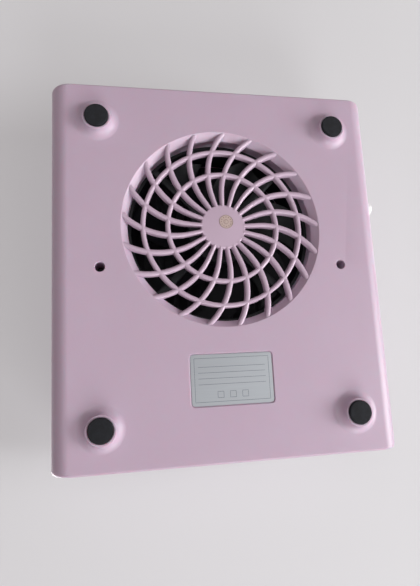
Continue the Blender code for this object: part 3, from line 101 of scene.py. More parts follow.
def enclosed_volume(points: np.ndarray, quads: np.ndarray, ends: list[np.ndarray]) -> float:
    """Six times the signed volume: the sum of a . (b x c) over fans of triangles.

    Args:
        points: Rows of (x, y, z).
        quads: Rows of four vertex numbers.
        ends: End faces as rows of vertex numbers.

    Returns:
        The volume, below zero where the faces point inwards.
    """
    fans = [quads[:, [0, 1, 2]], quads[:, [0, 2, 3]]]
    for end in ends:
        inner = np.arange(1, len(end) - 1)
        fans.append(np.stack([np.full(len(inner), end[0]), end[inner], end[inner + 1]], -1))
    a, b, c = (points[np.vstack(fans)[:, corner]] for corner in range(3))
    return float(np.einsum("ij,ij->", a, np.cross(b, c)))


def linked(name: str, data: bpy.types.ID) -> Thing:
    """A new object round its data, linked to the scene."""
    made = bpy.data.objects.new(name, data)
    bpy.context.scene.collection.objects.link(made)
    return made


def smooth(mesh: bpy.types.Mesh, sharp_deg: float = 35.0) -> None:
    """Shade a mesh smoothly, but for edges that bend more than an angle."""
    mesh.shade_smooth()
    mesh.set_sharp_from_angle(angle=math.radians(sharp_deg))


def make_mesh(name: str, surfaces: Sequence[Surface], sharp_deg: float = 35.0) -> Thing:
    """One object of closed surfaces, each turned so that its faces point outwards.

    Args:
        name: Name of the object and its mesh.
        surfaces: The closed surfaces, which may reach into each other.
        sharp_deg: Edges that bend more than this stay crisp.

    Returns:
        The linked object, at the origin, with its place in its mesh.
    """
    points: list[np.ndarray] = []
    faces: list[list[int]] = []
    start = 0
    for surface in surfaces:
        flat = surface.points.reshape(-1, 3)
        quads, ends = surface.faces()
        if enclosed_volume(flat - flat.mean(0), quads, ends) < 0:
            quads, ends = quads[:, ::-1], [end[::-1] for end in ends]
        points.append(flat)
        faces += (quads + start).tolist() + [(end + start).tolist() for end in ends]
        start += len(flat)
    mesh = bpy.data.meshes.new(name)
    mesh.from_pydata(np.vstack(points).tolist(), [], faces)
    mesh.validate()
    smooth(mesh, sharp_deg)
    return linked(name, mesh)


class Joining(Enum):
    """How one closed shape acts on another."""

    WELD = "UNION"
    CUT = "DIFFERENCE"


def settle(target: Thing) -> None:
    """Apply the modifiers of an object to its mesh."""
    graph = bpy.context.evaluated_depsgraph_get()
    graph.update()
    mesh = bpy.data.meshes.new_from_object(target.evaluated_get(graph))
    target.modifiers.clear()
    target.data = mesh


def combine(target: Thing, how: Joining, tool: Thing, crossing: bool = False) -> None:
    """Weld a tool to an object or cut it out, and use the tool up.

    Args:
        target: The object that is changed.
        how: Whether the tool is welded on or cut away.
        tool: The other object.
        crossing: True where the tool's own surfaces reach into each other.
    """
    step = target.modifiers.new("work", "BOOLEAN")
    step.object, step.operation, step.solver = tool, how.value, "EXACT"
    step.use_self = crossing
    settle(target)
    bpy.data.objects.remove(tool, do_unlink=True)


def work(target: Thing, how: Joining, *surfaces: Surface) -> None:
    """Weld closed surfaces to an object, or cut them out of it."""
    combine(target, how, make_mesh("tool", surfaces), True)


def gather(target: Thing, others: Sequence[Surface]) -> None:
    """Put more closed surfaces into an object's mesh, where they may reach into its own."""
    extra = make_mesh("extra", others)
    shape = bmesh.new()
    shape.from_mesh(target.data)
    shape.from_mesh(extra.data)
    shape.to_mesh(target.data)
    shape.free()
    bpy.data.objects.remove(extra, do_unlink=True)


def polish(target: Thing) -> Thing:
    """Shade an object smoothly between its crisp edges, flat faces leading their neighbours."""
    smooth(target.data)
    target.modifiers.new("even_normals", "WEIGHTED_NORMAL").keep_sharp = True
    settle(target)
    return target


def rounded_profile(corners: Sequence[Triple], steps: int = 5,
                    closed: bool = False) -> np.ndarray:
    """A profile whose corners are arcs: each arc has its radius and touches both its sides.

    Args:
        corners: Rows of (radius from the axis, height, radius of the corner's arc).
        steps: Steps in each arc.
        closed: True where the last corner joins the first.

    Returns:
        Points as rows of (radius from the axis, height).
    """
    spots = np.array([corner[:2] for corner in corners])
    points: list[np.ndarray] = []
    for number, (_, _, radius) in enumerate(corners):
        here = spots[number]
        if radius <= 0 or (not closed and number in (0, len(corners) - 1)):
            points.append(here[None])
            continue
        before = spots[number - 1] - here
        after = spots[(number + 1) % len(corners)] - here
        before = before / np.linalg.norm(before)
        after = after / np.linalg.norm(after)
        half = 0.5 * math.acos(float(np.clip(before @ after, -1, 1)))
        middle = (before + after) / np.linalg.norm(before + after)
        centre = here + middle * radius / math.sin(half)
        first = here + before * radius / math.tan(half) - centre
        last = here + after * radius / math.tan(half) - centre
        share = np.linspace(0, 1, steps + 1)[:, None]
        swing = math.pi - 2 * half
        arc = np.sin((1 - share) * swing) * first + np.sin(share * swing) * last
        points.append(centre + arc / math.sin(swing))
    return np.vstack(points)


def revolved(profile: np.ndarray, steps: int, centre: Sequence[float] = (0.0, 0.0),
             closed: bool = False) -> Surface:
    """Turn a profile of (r, z) about Z: x = r cos t, y = r sin t, for t once round.

    Args:
        profile: Rows of (radius, height); a radius of 0 is left to the end face.
        steps: Points once round.
        centre: Where the axis stands.
        closed: True where the profile is a closed loop clear of the axis.

    Returns:
        The closed surface.
    """
    kept = profile[profile[:, 0] > 1e-7]
    turn = around(steps)
    points = np.empty((len(kept), steps, 3))
    points[..., 0] = centre[0] + kept[:, :1] * np.cos(turn)
    points[..., 1] = centre[1] + kept[:, :1] * np.sin(turn)
    points[..., 2] = kept[:, 1:]
    return Surface(points, ring_rows=closed)


def turned(corners: Sequence[Triple], steps: int,
           centre: Sequence[float] = (0.0, 0.0), arc: int = 5, closed: bool = False) -> Surface:
    """Turn a profile with rounded corners about Z, with arc as the steps in each corner."""
    return revolved(rounded_profile(corners, arc, closed), steps, centre, closed)


def rod(radius: float, low: float, high: float, steps: int,
        centre: Sequence[float] = (0.0, 0.0)) -> Surface:
    """An upright cylinder."""
    return revolved(np.array([(radius, low), (radius, high)]), steps, centre)


def around(count: int, phase: float = 0.0) -> np.ndarray:
    """Even angles, once round from a phase."""
    return phase + np.linspace(0, 2 * math.pi, count, endpoint=False)


def four(centre: Sequence[float], reach_x: float, reach_y: float) -> list[Pair]:
    """Corners of a rectangle: front left, front right, back left, back right."""
    return [(centre[0] + sx * reach_x, centre[1] + sy * reach_y)
            for sy in (-1, 1) for sx in (-1, 1)]


def swept(path: np.ndarray, side: np.ndarray, up: np.ndarray, section: np.ndarray) -> Surface:
    """Carry a closed section along a path: point = path + a * side + b * up for each (a, b).

    Args:
        path: Rows of (x, y, z).
        side: Sideways direction at each point of the path.
        up: Upward direction at each point of the path.
        section: Rows of (a, b), or one such set for each point of the path.

    Returns:
        The closed surface.
    """
    return Surface(path[:, None] + section[..., :1] * side[:, None]
                   + section[..., 1:] * up[:, None])


def crested(half: float, tall: float, depth: float, steps: int, draft: float = 0.0) -> np.ndarray:
    """Cross-section of a rib: a half ellipse x = h cos t, y = e (1 - sin t) on straight flanks.

    Args:
        half: Half width h.
        tall: Height e of the ellipse; below zero where the rib looks up.
        depth: Where the flanks end.
        steps: Points of the ellipse.
        draft: How far each flank leans out.

    Returns:
        Rows of (across, down).
    """
    turn = np.linspace(0, math.pi, steps)
    crest = np.stack([half * np.cos(turn), tall * (1 - np.sin(turn))], -1)
    return np.vstack([crest, [(-half - draft, depth), (half + draft, depth)]])


def rays(turns: np.ndarray, centre: Sequence[float], reach: Pair,
         section: np.ndarray) -> list[Surface]:
    """Straight bars that leave an axis: centre + r (cos t, sin t, 0) for r in the reach.

    Args:
        turns: Angle t of each bar.
        centre: Point of the axis at the bars' height.
        reach: First and last radius.
        section: Cross-section as rows of (across, up).

    Returns:
        The closed bars.
    """
    bars = []
    for turn in turns:
        ray = np.array([math.cos(turn), math.sin(turn), 0.0])
        side = np.array([[-ray[1], ray[0], 0.0]] * 2)
        path = np.array(centre) + np.array(reach)[:, None] * ray
        bars.append(swept(path, side, np.array([[0.0, 0.0, 1.0]] * 2), section))
    return bars


def pipe(radius: float, start: Sequence[float], end: Sequence[float], steps: int) -> Surface:
    """A round bar from one point to another: centre line plus r (cos t * side + sin t * up).

    Args:
        radius: Its radius r.
        start: Its first point.
        end: Its last point.
        steps: Points once round.

    Returns:
        The closed bar.
    """
    path = np.array([start, end])
    ahead = Vector(path[1] - path[0]).normalized()
    side = ahead.orthogonal().normalized()
    up = ahead.cross(side)
    turn = around(steps)
    section = radius * np.stack([np.cos(turn), np.sin(turn)], -1)
    return swept(path, np.array([side, side]), np.array([up, up]), section)


def rounded_loop(half_x: float, half_y: float, radius: float, steps: int = 8) -> np.ndarray:
    """Loop of a rectangle with arcs for corners: centre of each arc plus r (cos t, sin t).

    Args:
        half_x: Half its width.
        half_y: Half its depth.
        radius: Radius r of its corners.
        steps: Steps in each corner.

    Returns:
        Rows of (x, y).
    """
    turn = np.linspace(0, math.pi / 2, steps + 1)
    quarter = np.stack([np.cos(turn), np.sin(turn)], -1) * radius
    loops = []
    for side_x, side_y, start in ((1, 1, 0), (-1, 1, 1), (-1, -1, 2), (1, -1, 3)):
        angle = start * math.pi / 2
        spin = np.array([[math.cos(angle), math.sin(angle)], [-math.sin(angle), math.cos(angle)]])
        centre = np.array([side_x * (half_x - radius), side_y * (half_y - radius)])
        loops.append(centre + quarter @ spin)
    return np.vstack(loops)


def oblong(half_x: float, half_y: float) -> np.ndarray:
    """Loop of a plain rectangle."""
    return np.array([(half_x, half_y), (-half_x, half_y), (-half_x, -half_y), (half_x, -half_y)])


def prism(loop: np.ndarray, low: float, high: float, centre: Sequence[float],
          edge: float = 0.0, flare: float = 0.0) -> Surface:
    """Raise a loop from one height to another, its rims drawn in by a quarter-round edge.

    Args:
        loop: Rows of (x, y) about the middle.
        low: Lower height.
        high: Upper height.
        centre: Where the middle lies.
        edge: Radius of both rims.
        flare: How far the lower rim stands out beyond the loop.

    Returns:
        The closed surface.
    """
    turn = np.linspace(0, math.pi / 2, 5) if edge > 0 else np.array([math.pi / 2])
    inset = edge * (1 - np.sin(turn))
    level = edge * (1 - np.cos(turn)) if edge > 0 else turn * 0
    levels = np.concatenate([low + level, (high - level)[::-1]])
    insets = np.concatenate([inset, inset[::-1]])
    insets[0] -= flare
    reach = np.abs(loop).max(0)
    shrink = (reach - insets[:, None]) / reach
    points = np.empty((len(levels), len(loop), 3))
    points[..., :2] = np.array(centre) + loop * shrink[:, None]
    points[..., 2] = levels[:, None]
    return Surface(points)


def laid(surface: Surface, origin: Sequence[float], axes: Sequence[Sequence[float]]) -> Surface:
    """Lay a surface made about Z along other axes: point = origin + x a + y b + z c."""
    surface.points = np.array(origin) + surface.points @ np.array(axes)
    return surface


# ---- finishes


def linear(code: str) -> tuple[float, float, float, float]:
    """Turn an sRGB hex value into Blender's linear colour."""
    parts = [int(code[start:start + 2], 16) / 255 for start in (0, 2, 4)]
    red, green, blue = (
        part / 12.92 if part <= 0.04045 else ((part + 0.055) / 1.055) ** 2.4 for part in parts
    )
    return red, green, blue, 1.0


def add(tree: bpy.types.NodeTree, kind: str, inputs: dict[Any, Any] | None = None,
        **settings: Any) -> bpy.types.Node:
    """Add a node, set it and link it.

    Args:
        tree: The node tree.
        kind: The node's type name after "ShaderNode".
        inputs: Socket name or number to a value, or to the output that feeds it.
        settings: The node's own settings.

    Returns:
        The node.
    """
    node = tree.nodes.new("ShaderNode" + kind)
    for key, value in settings.items():
        setattr(node, key, value)
    for key, value in (inputs or {}).items():
        if isinstance(value, Socket):
            tree.links.new(value, node.inputs[key])
        else:
            node.inputs[key].default_value = value
    return node


class Recipe:
    """A new material on object coordinates, and the nodes that most patterns share."""

    def __init__(self, name: str, **uniform: Any) -> None:
        """Start the material.

        Args:
            name: Its name.
            uniform: Shader socket, with _ for each space, to its value all over.
        """
        self.made = bpy.data.materials.new(name)
        self.made.use_nodes = True
        self.tree = self.made.node_tree
        self.shader = self.tree.nodes["Principled BSDF"]
        for socket, value in uniform.items():
            self.shader.inputs[socket.replace("_", " ")].default_value = value
        self.place = add(self.tree, "TexCoord").outputs["Object"]

    def pattern(self, kind: str, **inputs: Any) -> bpy.types.Node:
        """Add a texture node on the material's coordinates, with _ for each space."""
        named = {key.replace("_", " "): value for key, value in inputs.items()}
        return add(self.tree, kind, {"Vector": self.place, **named})

    def noise(self, **inputs: Any) -> Socket:
        """Add a noise texture and return its strength."""
        return self.pattern("TexNoise", **inputs).outputs["Fac"]

    def spread(self, value: Socket, **inputs: float) -> Socket:
        """Map a value from one range to another."""
        named = {key.replace("_", " "): limit for key, limit in inputs.items()}
        return add(self.tree, "MapRange", {"Value": value, **named}).outputs[0]

    def feed(self, socket: str, value: Socket) -> None:
        """Link an output to the shader."""
        self.tree.links.new(value, self.shader.inputs[socket])

    def tint(self, share: Socket, colour: str, other: str) -> None:
        """Mix two colours over the surface."""
        mix = add(self.tree, "Mix", {0: share, 6: linear(colour), 7: linear(other)},
                  data_type="RGBA")
        self.feed("Base Color", mix.outputs[2])

    def bump(self, height: Socket, strength: float, distance: float) -> None:
        """Roughen the surface by a height."""
        bump = add(self.tree, "Bump",
                   {"Height": height, "Strength": strength, "Distance": distance})
        self.feed("Normal", bump.outputs[0])


@dataclass(frozen=True)
class MouldedPlastic:
    """Injection-moulded plastic with the fine grain that a spark-eroded mould leaves.

    The eye gets an even colour that mottles a little, and a soft, slightly broken highlight.
    """

    name: str
    colour: str
    shade: str
    roughness: float
    grain: float = 0.0007
    grain_height: float = 0.00002
    mottle: float = 0.045
    ior: float = 1.53
    coat: float = 0.0
    glow: float = 0.0

    def material(self) -> Material:
        """Build the material."""
        recipe = Recipe(self.name, IOR=self.ior, Coat_Weight=self.coat, Coat_Roughness=0.2,
                        Subsurface_Weight=self.glow, Subsurface_Scale=0.0030,
                        Subsurface_Radius=(1.0, 0.35, 0.45))
        cloud = recipe.noise(Scale=1 / self.mottle, Detail=3.0, Roughness=0.55)
        grain = recipe.noise(Scale=1 / self.grain, Detail=2.0, Roughness=0.6)
        recipe.tint(cloud, self.colour, self.shade)
        recipe.feed("Roughness", recipe.spread(
            grain, From_Min=0.3, From_Max=0.7,
            To_Min=self.roughness - 0.05, To_Max=self.roughness + 0.06))
        recipe.bump(grain, 0.5, self.grain_height)
        return recipe.made


@dataclass(frozen=True)
class FootRubber:
    """Die-cut sponge rubber: almost black, dull, with a dusty bloom of fine pores."""

    name: str = "sponge_rubber_die_cut"
    colour: str = "0e0f13"
    bloom: str = "1c1e24"
    pore: float = 0.0009

    def material(self) -> Material:
        """Build the material."""
        recipe = Recipe(self.name, Roughness=0.9, IOR=1.4)
        pores = recipe.pattern("TexVoronoi", Scale=1 / self.pore)
        dust = recipe.noise(Scale=260.0, Detail=5.0, Roughness=0.7)
        recipe.tint(recipe.spread(dust, From_Min=0.42, From_Max=0.75),
                    self.colour, self.bloom)
        recipe.bump(pores.outputs["Distance"], 0.5, 0.0001)
        return recipe.made


@dataclass(frozen=True)
class LabelFilm:
    """Silver polyester film, satin: grey with a faint brushed streak along its length."""

    name: str = "polyester_label_satin"
    colour: str = "a6acb1"
    streak: str = "9ca2a7"
    roughness: float = 0.5

    def material(self) -> Material:
        """Build the material."""
        recipe = Recipe(self.name, Metallic=0.1, Roughness=self.roughness)
        stretch = recipe.pattern("Mapping", Scale=(60.0, 2400.0, 60.0))
        recipe.place = stretch.outputs[0]
        lines = recipe.noise(Scale=1.0, Detail=3.0)
        recipe.tint(lines, self.colour, self.streak)
        recipe.bump(lines, 0.2, 0.00002)
        return recipe.made


@dataclass(frozen=True)
class PlatedMetal:
    """Turned or drawn metal: bright, with fine marks that stretch the highlight."""

    name: str
    colour: str
    roughness: float
    mark: float = 0.0004
    metallic: float = 1.0

    def material(self) -> Material:
        """Build the material."""
        recipe = Recipe(self.name, Base_Color=linear(self.colour), Metallic=self.metallic)
        marks = recipe.noise(Scale=1 / self.mark, Detail=4.0)
        recipe.feed("Roughness", recipe.spread(
            marks, To_Min=self.roughness - 0.08, To_Max=self.roughness + 0.12))
        recipe.bump(marks, 0.25, 0.00003)
        return recipe.made


@dataclass(frozen=True)
class Fibrous:
    """Pleated paper or cell foam: dull, with fibres or pores that cast tiny shadows."""

    name: str
    colour: str
    shade: str
    cell: float
    height: float

    def material(self) -> Material:
        """Build the material."""
        recipe = Recipe(self.name, Roughness=0.92)
        cells = recipe.pattern("TexVoronoi", Scale=1 / self.cell)
        fibres = recipe.noise(Scale=0.7 / self.cell, Detail=6.0, Roughness=0.7,
                                Distortion=1.5)
        recipe.tint(fibres, self.colour, self.shade)
        high = add(recipe.tree, "Math",
                   {0: cells.outputs["Distance"], 1: fibres}, operation="ADD")
        recipe.bump(high.outputs[0], 0.6, self.height)
        return recipe.made


@dataclass(frozen=True)
class SolderMask:
    """Green solder mask on glass laminate: glossy, with raised tracks under it."""

    name: str = "solder_mask_green"
    colour: str = "1c5c36"
    track: str = "2c7a4a"

    def material(self) -> Material:
        """Build the material."""
        recipe = Recipe(self.name, Roughness=0.32)
        tracks = recipe.pattern(
            "TexBrick", Scale=1.0, Mortar_Size=0.00045, Brick_Width=0.0055, Row_Height=0.0024,
            Color1=(0, 0, 0, 1), Color2=(0, 0, 0, 1), Mortar=(1, 1, 1, 1))
        recipe.tint(tracks.outputs["Color"], self.colour, self.track)
        recipe.bump(tracks.outputs["Fac"], 0.4, 0.00004)
        return recipe.made


class Finish(Enum):
    """The finishes of the collector, each named for its real material, and also for painted shade
    where one carries some.
    """

    SHELL = MouldedPlastic("abs_lilac_fine_grain", "bca9bb", "b7a3b5", 0.46, glow=0.35)
    GRILLE = MouldedPlastic("abs_lilac_grille_polished", "bca8ba", "b7a2b4", 0.33,
                            grain_height=0.000008)
    BLACK = MouldedPlastic("pbt_black_satin", "08090d", "0d0e14", 0.5, grain=0.0006, ior=1.4)
    WHITE = MouldedPlastic("abs_white_polished", "f1f1f2", "eaeaec", 0.2, grain=0.001,
                           grain_height=0.000003, coat=0.3)
    DIAL = MouldedPlastic("date_dial_beige", "bdaaa3", "b3a09a", 0.45, grain=0.0004)
    # The dial's dots and ring lines: painted shade, a dark tone in place of the shade round the
    # moulded marks.
    DIAL_MARK_SHADE = MouldedPlastic("date_dial_marks_painted_shade", "7d6b62", "86746d", 0.5, grain=0.0004)
    RULES = MouldedPlastic("label_ink_grey", "62676b", "5b6064", 0.5, grain=0.0004)
    SHEATH = MouldedPlastic("pvc_sheath_black", "1b1b1d", "232326", 0.5, grain=0.0005)
    RUBBER = FootRubber()
    LABEL = LabelFilm()
    STEEL = PlatedMetal("steel_zinc_plated", "c4c6c8", 0.3)
    # Case screws: black zinc plating, whose dark colour also stands in as painted shade for the
    # deep wells round them.
    BLACK_ZINC_AND_WELL_SHADE = PlatedMetal("steel_black_zinc_and_well_shade", "3f3a3d", 0.5)
    LAMINATION = PlatedMetal("silicon_steel_laminated", "8d9094", 0.42)
    COPPER = PlatedMetal("copper_wire_enamelled", "b8643a", 0.32, mark=0.0003)
    FERRITE = PlatedMetal("ferrite_sintered", "3a3a3c", 0.62, mark=0.0005, metallic=0.15)
    PAPER = Fibrous("filter_paper_carbon_pleated", "3c3d41", "2f3034", 0.0009, 0.00008)
    FOAM = Fibrous("pe_foam_gasket", "4a4a4e", "333337", 0.0008, 0.00015)
    BOARD = SolderMask()


class Wardrobe:
    """Makes each finish once, and dresses pieces and carried-over nodes with it."""

    def __init__(self) -> None:
        """Start with no finish made."""
        self.made: dict[Finish, Material] = {}

    def material(self, finish: Finish) -> Material:
        """Return the finish's material, made on first use."""
        if finish not in self.made:
            self.made[finish] = finish.value.material()
        return self.made[finish]

    def seat(self, piece: Thing, finish: Finish, body: Body, slot: str, *nodes: str) -> None:
        """Dress a piece, set it on its body and let it stand for its nodes.

        Args:
            piece: The finished object.
            finish: Its finish, all over.
            body: The body that it rides on.
            slot: The record's material slot; not used.
            nodes: The CAD nodes that it replaces.
        """
        piece.data.materials.clear()
        piece.data.materials.append(self.material(finish))
        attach(piece, body.value)
        if nodes:
            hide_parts(*nodes)
        LOG.info("%s rides on %s and stands for %s", piece.name, body.value, list(nodes))


# ---- housing


def drawn_in(radius: float, distance: np.ndarray) -> np.ndarray:
    """How far a round edge has drawn in, at a distance from the end: r - sqrt(r^2 - (r-d)^2)."""
    left = np.clip(radius - distance, 0, None)
    return radius - np.sqrt(radius ** 2 - left ** 2)


def lip(radius: float, level: float, slope_deg: float, edge: float, outward: int) -> np.ndarray:
    """Cutter's rim where a hole's wall leaves a flat face: an arc of radius e about a centre.

    The centre lies e inside the face and r + e tan(slope / 2) from the axis, and the arc
    turns from the face to the wall.

    Args:
        radius: The hole's radius where its wall would meet the face.
        level: Height of the face.
        slope_deg: Angle between the face's normal and the wall's.
        edge: Radius of the rounded edge.
        outward: 1 for a face that looks up, -1 for one that looks down.

    Returns:
        Rows of (radius, height), from outside the face to the wall.
    """
    slope, first = math.radians(slope_deg), math.radians(10)
    centre = np.array([radius + edge * math.tan(slope / 2), level - outward * edge])
    turn = np.linspace(first, slope, 6)
    arc = centre + edge * np.stack([-np.sin(turn), outward * np.cos(turn)], -1)
    start = arc[0] + OVER * np.array([math.cos(first / 2), outward * math.sin(first / 2)])
    return np.vstack([[start[0], level + outward * OVER], start, arc])


@dataclass
class Housing:
    """The two shells, with the sizes that the other pieces take their places from."""

    width: float = 0.210
    depth: float = 0.236
    height: float = 0.058
    foot_height: float = 0.0066
    side_fillet: float = 0.0105
    end_fillet: float = 0.0015
    plan_corner: float = 0.0032
    deck_fillet: float = 0.0090
    wall: float = 0.0024
    part_height: float = 0.028
    lip_height: float = 0.0016
    rest_length: float = 0.06392
    rest_drop: float = 0.012
    fan_offset: float = 0.0254
    grille_radius: float = 0.0636
    throat_radius: float = 0.0595
    bevel_depth: float = 0.0044
    throat_depth: float = 0.0117
    well_radius: float = 0.0662
    duct_radius: float = 0.0584
    gap: float = 0.0003
    fan_hole_reach: float = 0.0525
    label_y: float = -0.0694
    button_place: Pair = (0.0443, 0.0241)
    inlet_place: Pair = (-0.03479, 0.0211)

    @property
    def middle(self) -> float:
        """X of the housing's middle, which the button moves off the frame's origin."""
        low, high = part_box("bottom_shell")
        return (low.x + high.x) / 2

    @property
    def fan_axis(self) -> Pair:
        """Where the fan's axis stands."""
        return self.middle, self.fan_offset

    @property
    def label_centre(self) -> Pair:
        """Where the label's middle lies."""
        return self.middle, self.label_y

    @property
    def part_z(self) -> float:
        """Height of the line between the shells."""
        return self.foot_height + self.part_height

    @property
    def deck_z(self) -> float:
        """Height of the deck."""
        return self.foot_height + self.height

    def stations(self, inset: float, edge: float) -> np.ndarray:
        """Places along Y, closer together where the ends round.

        Args:
            inset: How far the loft lies inside the outer skin.
            edge: Radius of its end edges.

        Returns:
            The places, from the front to the back.
        """
        half = self.depth / 2 - inset
        share = 1 - np.cos(np.linspace(0, math.pi / 2, 9))
        near = np.unique(np.concatenate([share * edge, share * (self.plan_corner - inset)]))
        return np.concatenate([near - half, [0.0], (half - near)[::-1]])

    def loft(self, y: np.ndarray, side: np.ndarray, edge: np.ndarray, far: float,
             fillet: float, turn: np.ndarray) -> Surface:
        """Loft of a U along Y: its sides stand at +-side, and arcs of r (cos t, sin t) join them
        to the base at the edge's height.

        Args:
            y: Places of the sections.
            side: Half width of each section.
            edge: Height of each section's base.
            far: Height where the sides end.
            fillet: Radius r of the arcs.
            turn: Angles t, from 0 to a quarter turn down or up.

        Returns:
            The closed loft.
        """
        across = (side - fillet)[:, None] + fillet * np.cos(turn)
        level = (edge - np.sign(turn[-1]) * fillet)[:, None] + fillet * np.sin(turn)
        flat = np.full((len(y), 1), far)
        x = np.hstack([side[:, None], across, -across[:, ::-1], -side[:, None]])
        z = np.hstack([flat, level, level[:, ::-1], flat])
        return Surface(np.stack([x + self.middle, np.broadcast_to(y[:, None], x.shape), z], -1))

    def tray_loft(self, inset: float, low: float, high: float) -> Surface:
        """Loft of the tray: its base draws in at the end edges, its sides at the plan corners.

        Args:
            inset: How far it lies inside the outer skin.
            low: Height of its base.
            high: Height where its sides end.

        Returns:
            The closed loft.
        """
        corner = self.plan_corner - inset
        edge = min(self.end_fillet, corner)
        y = self.stations(inset, edge)
        from_end = self.depth / 2 - inset - np.abs(y)
        side = self.width / 2 - inset - drawn_in(corner, from_end)
        return self.loft(y, side, low + drawn_in(edge, from_end), high,
                         self.side_fillet - inset, np.linspace(0, -math.pi / 2, 15))

    def deck_fall(self, y: np.ndarray) -> np.ndarray:
        """Fall of the hand rest: drop * (3 t^2 - 2 t^3), t from the deck's edge to the front."""
        share = np.clip((-y - (self.depth / 2 - self.rest_length)) / self.rest_length, 0, 1)
        return self.rest_drop * share * share * (3 - 2 * share)

    def cover_loft(self, inset: float, low: float, deck: float) -> Surface:
        """Loft of the cover, its top following the hand rest's fall.

        Args:
            inset: How far it lies inside the outer skin.
            low: Height where its sides end.
            deck: Height of its deck.

        Returns:
            The closed loft.
        """
        corner = self.plan_corner - inset
        slope = np.linspace(self.plan_corner, self.rest_length, 25) - self.depth / 2
        y = np.unique(np.concatenate([self.stations(inset, corner), slope]))
        drawn = drawn_in(corner, self.depth / 2 - inset - np.abs(y))
        return self.loft(y, self.width / 2 - inset - drawn, deck - self.deck_fall(y) - drawn, low,
                         self.deck_fillet - inset, np.linspace(0, math.pi / 2, 13))


# the one housing, which the other pieces take their places from
HOME = Housing()


@dataclass
class Tray:
    """The moulded underside: floor, collar, feet, screw posts and the outlet's opening."""

    throat_lip: float = 0.0006
    throat_edge: float = 0.0008
    collar_wall: float = 0.0025
    collar_root: float = 0.0030
    collar_edge: float = 0.002
    foot_reach: Pair = (0.0768, 0.0936)
    recess_radius: float = 0.0074
    recess_height: float = 0.0025
    foot_rim: float = 0.0012
    foot_taper: float = 0.0011
    foot_flare: float = 0.0058
    foot_sunk: float = 0.00004
    foot_low: float = 0.0015
    well_radius: float = 0.0030
    well_clear: float = 0.001
    well_depth_share: float = 0.6
    shank_radius: float = 0.0018
    boss_wall: float = 0.0020
    boss_seat: float = 0.0026
    post_rise: float = 0.00005
    case_reach: float = 0.07629
    case_well: float = 0.016
    foot_well: float = 0.0045
    fan_post: float = 0.0042
    fan_bore: float = 0.002
    label_pocket: Pair = (0.0254, 0.0154)
    label_corner: float = 0.0024
    pocket_depth: float = 0.0008
    pocket_rim: float = 0.0004
    hole_radius: float = 0.0064
    nose_radius: float = 0.0045
    bore_reach: float = 0.005

    def feet(self) -> list[Pair]:
        """Centres of the four feet."""
        return four((HOME.middle, 0.0), *self.foot_reach)

    def case_screws(self) -> list[Pair]:
        """Centres of the two screws beside the fan."""
        return [(HOME.middle + side * self.case_reach, 0.0) for side in (-1, 1)]

    def posts(self, low: float) -> list[Surface]:
        """Hollow posts that start inside the floor: two for the case's screws, four for the fan's.

        Each case post has a wide well below the screw's seat and a hole for its shank above.

        Args:
            low: Height where the case posts start.

        Returns:
            The closed rings.
        """
        seat = HOME.foot_height + self.case_well
        top, outer = seat + self.boss_seat, self.well_radius + self.boss_wall
        case = [(outer, low, 0), (outer, top, SOFT), (self.shank_radius, top, 0),
                (self.shank_radius, seat, 0), (self.well_radius, seat, 0),
                (self.well_radius, low, 0)]
        top, low = HOME.foot_height + HOME.throat_depth, HOME.foot_height + HOME.wall / 2
        fan = [(self.fan_post, low, 0), (self.fan_post, top, SOFT),
               (self.fan_bore, top, 0), (self.fan_bore, low, 0)]
        holes = four(HOME.fan_axis, HOME.fan_hole_reach, HOME.fan_hole_reach)
        return [turned(case, 40, place, 3, True) for place in self.case_screws()] + [
            turned(fan, 28, place, 3, True) for place in holes]

    def foot(self, place: Pair) -> Surface:
        """A foot: a cone that flares into the floor, with the pad's recess and the screw's post.

        Args:
            place: Its centre.

        Returns:
            The closed ring, which stands in the well cut for it.
        """
        face = HOME.foot_height
        inside, root = face + HOME.wall / 2, face + self.foot_sunk
        seat = face + self.foot_well
        top, outer = seat + self.boss_seat, self.well_radius + self.boss_wall
        rim = self.recess_radius + self.foot_rim
        base = rim + self.foot_taper
        wide = base + self.foot_flare
        return turned([
            (rim, self.foot_low, SOFT), (base, root, self.foot_flare), (wide, root, 0),
            (wide, inside, 0), (outer, inside, 0), (outer, top, SOFT),
            (self.shank_radius, top, 0), (self.shank_radius, seat, 0),
            (self.well_radius, seat, 0), (self.well_radius, self.recess_height, FINE),
            (self.recess_radius, self.recess_height, 0),
            (self.recess_radius, self.foot_low, FINE),
        ], 72, place, 7, True)

    def floor_cuts(self, face: float) -> list[Surface]:
        """Cutters of the throat, the screws' wells and the label's pocket.

        Args:
            face: Height of the flat underside.

        Returns:
            The closed cutters.
        """
        floor = face + HOME.wall
        inside = face + HOME.wall * self.well_depth_share
        wide = self.well_radius + self.well_clear
        throat = np.vstack([lip(HOME.grille_radius, face, 45.0, self.throat_lip, -1),
                            rounded_profile([
                                (HOME.grille_radius - OVER, face + OVER, 0),
                                (HOME.throat_radius, face + HOME.bevel_depth, self.throat_edge),
                                (HOME.throat_radius, face + HOME.throat_depth + OVER, 0),
                            ], 4)[1:]])
        well = np.vstack([lip(self.well_radius, face, 90.0, SOFT, -1), [
            (self.well_radius, inside), (wide, inside), (wide, floor + OVER)]])
        cuts = [revolved(throat, 192, HOME.fan_axis)]
        cuts += [revolved(well, 40, place) for place in self.case_screws()]
        cuts += [rod(wide, face - OVER, floor + OVER, 24, place) for place in self.feet()]
        pocket = rounded_loop(*self.label_pocket, self.label_corner)
        for depth, flare in ((self.pocket_depth, 0.0), (self.pocket_rim, OVER + self.pocket_rim)):
            cuts.append(prism(pocket, face - OVER, face + depth, HOME.label_centre, flare=flare))
        return cuts

    def wall_cuts(self) -> list[Surface]:
        """Cutters through the -X wall for the button and through the back wall for the inlet."""
        wall, back = HOME.middle - HOME.width / 2, HOME.depth / 2
        x, z = HOME.inlet_place
        return [pipe(self.hole_radius, (wall + self.bore_reach, *HOME.button_place),
                     (wall - OVER, *HOME.button_place), 48),
                pipe(self.nose_radius, (x, back - self.bore_reach, z), (x, back + OVER, z), 40)]

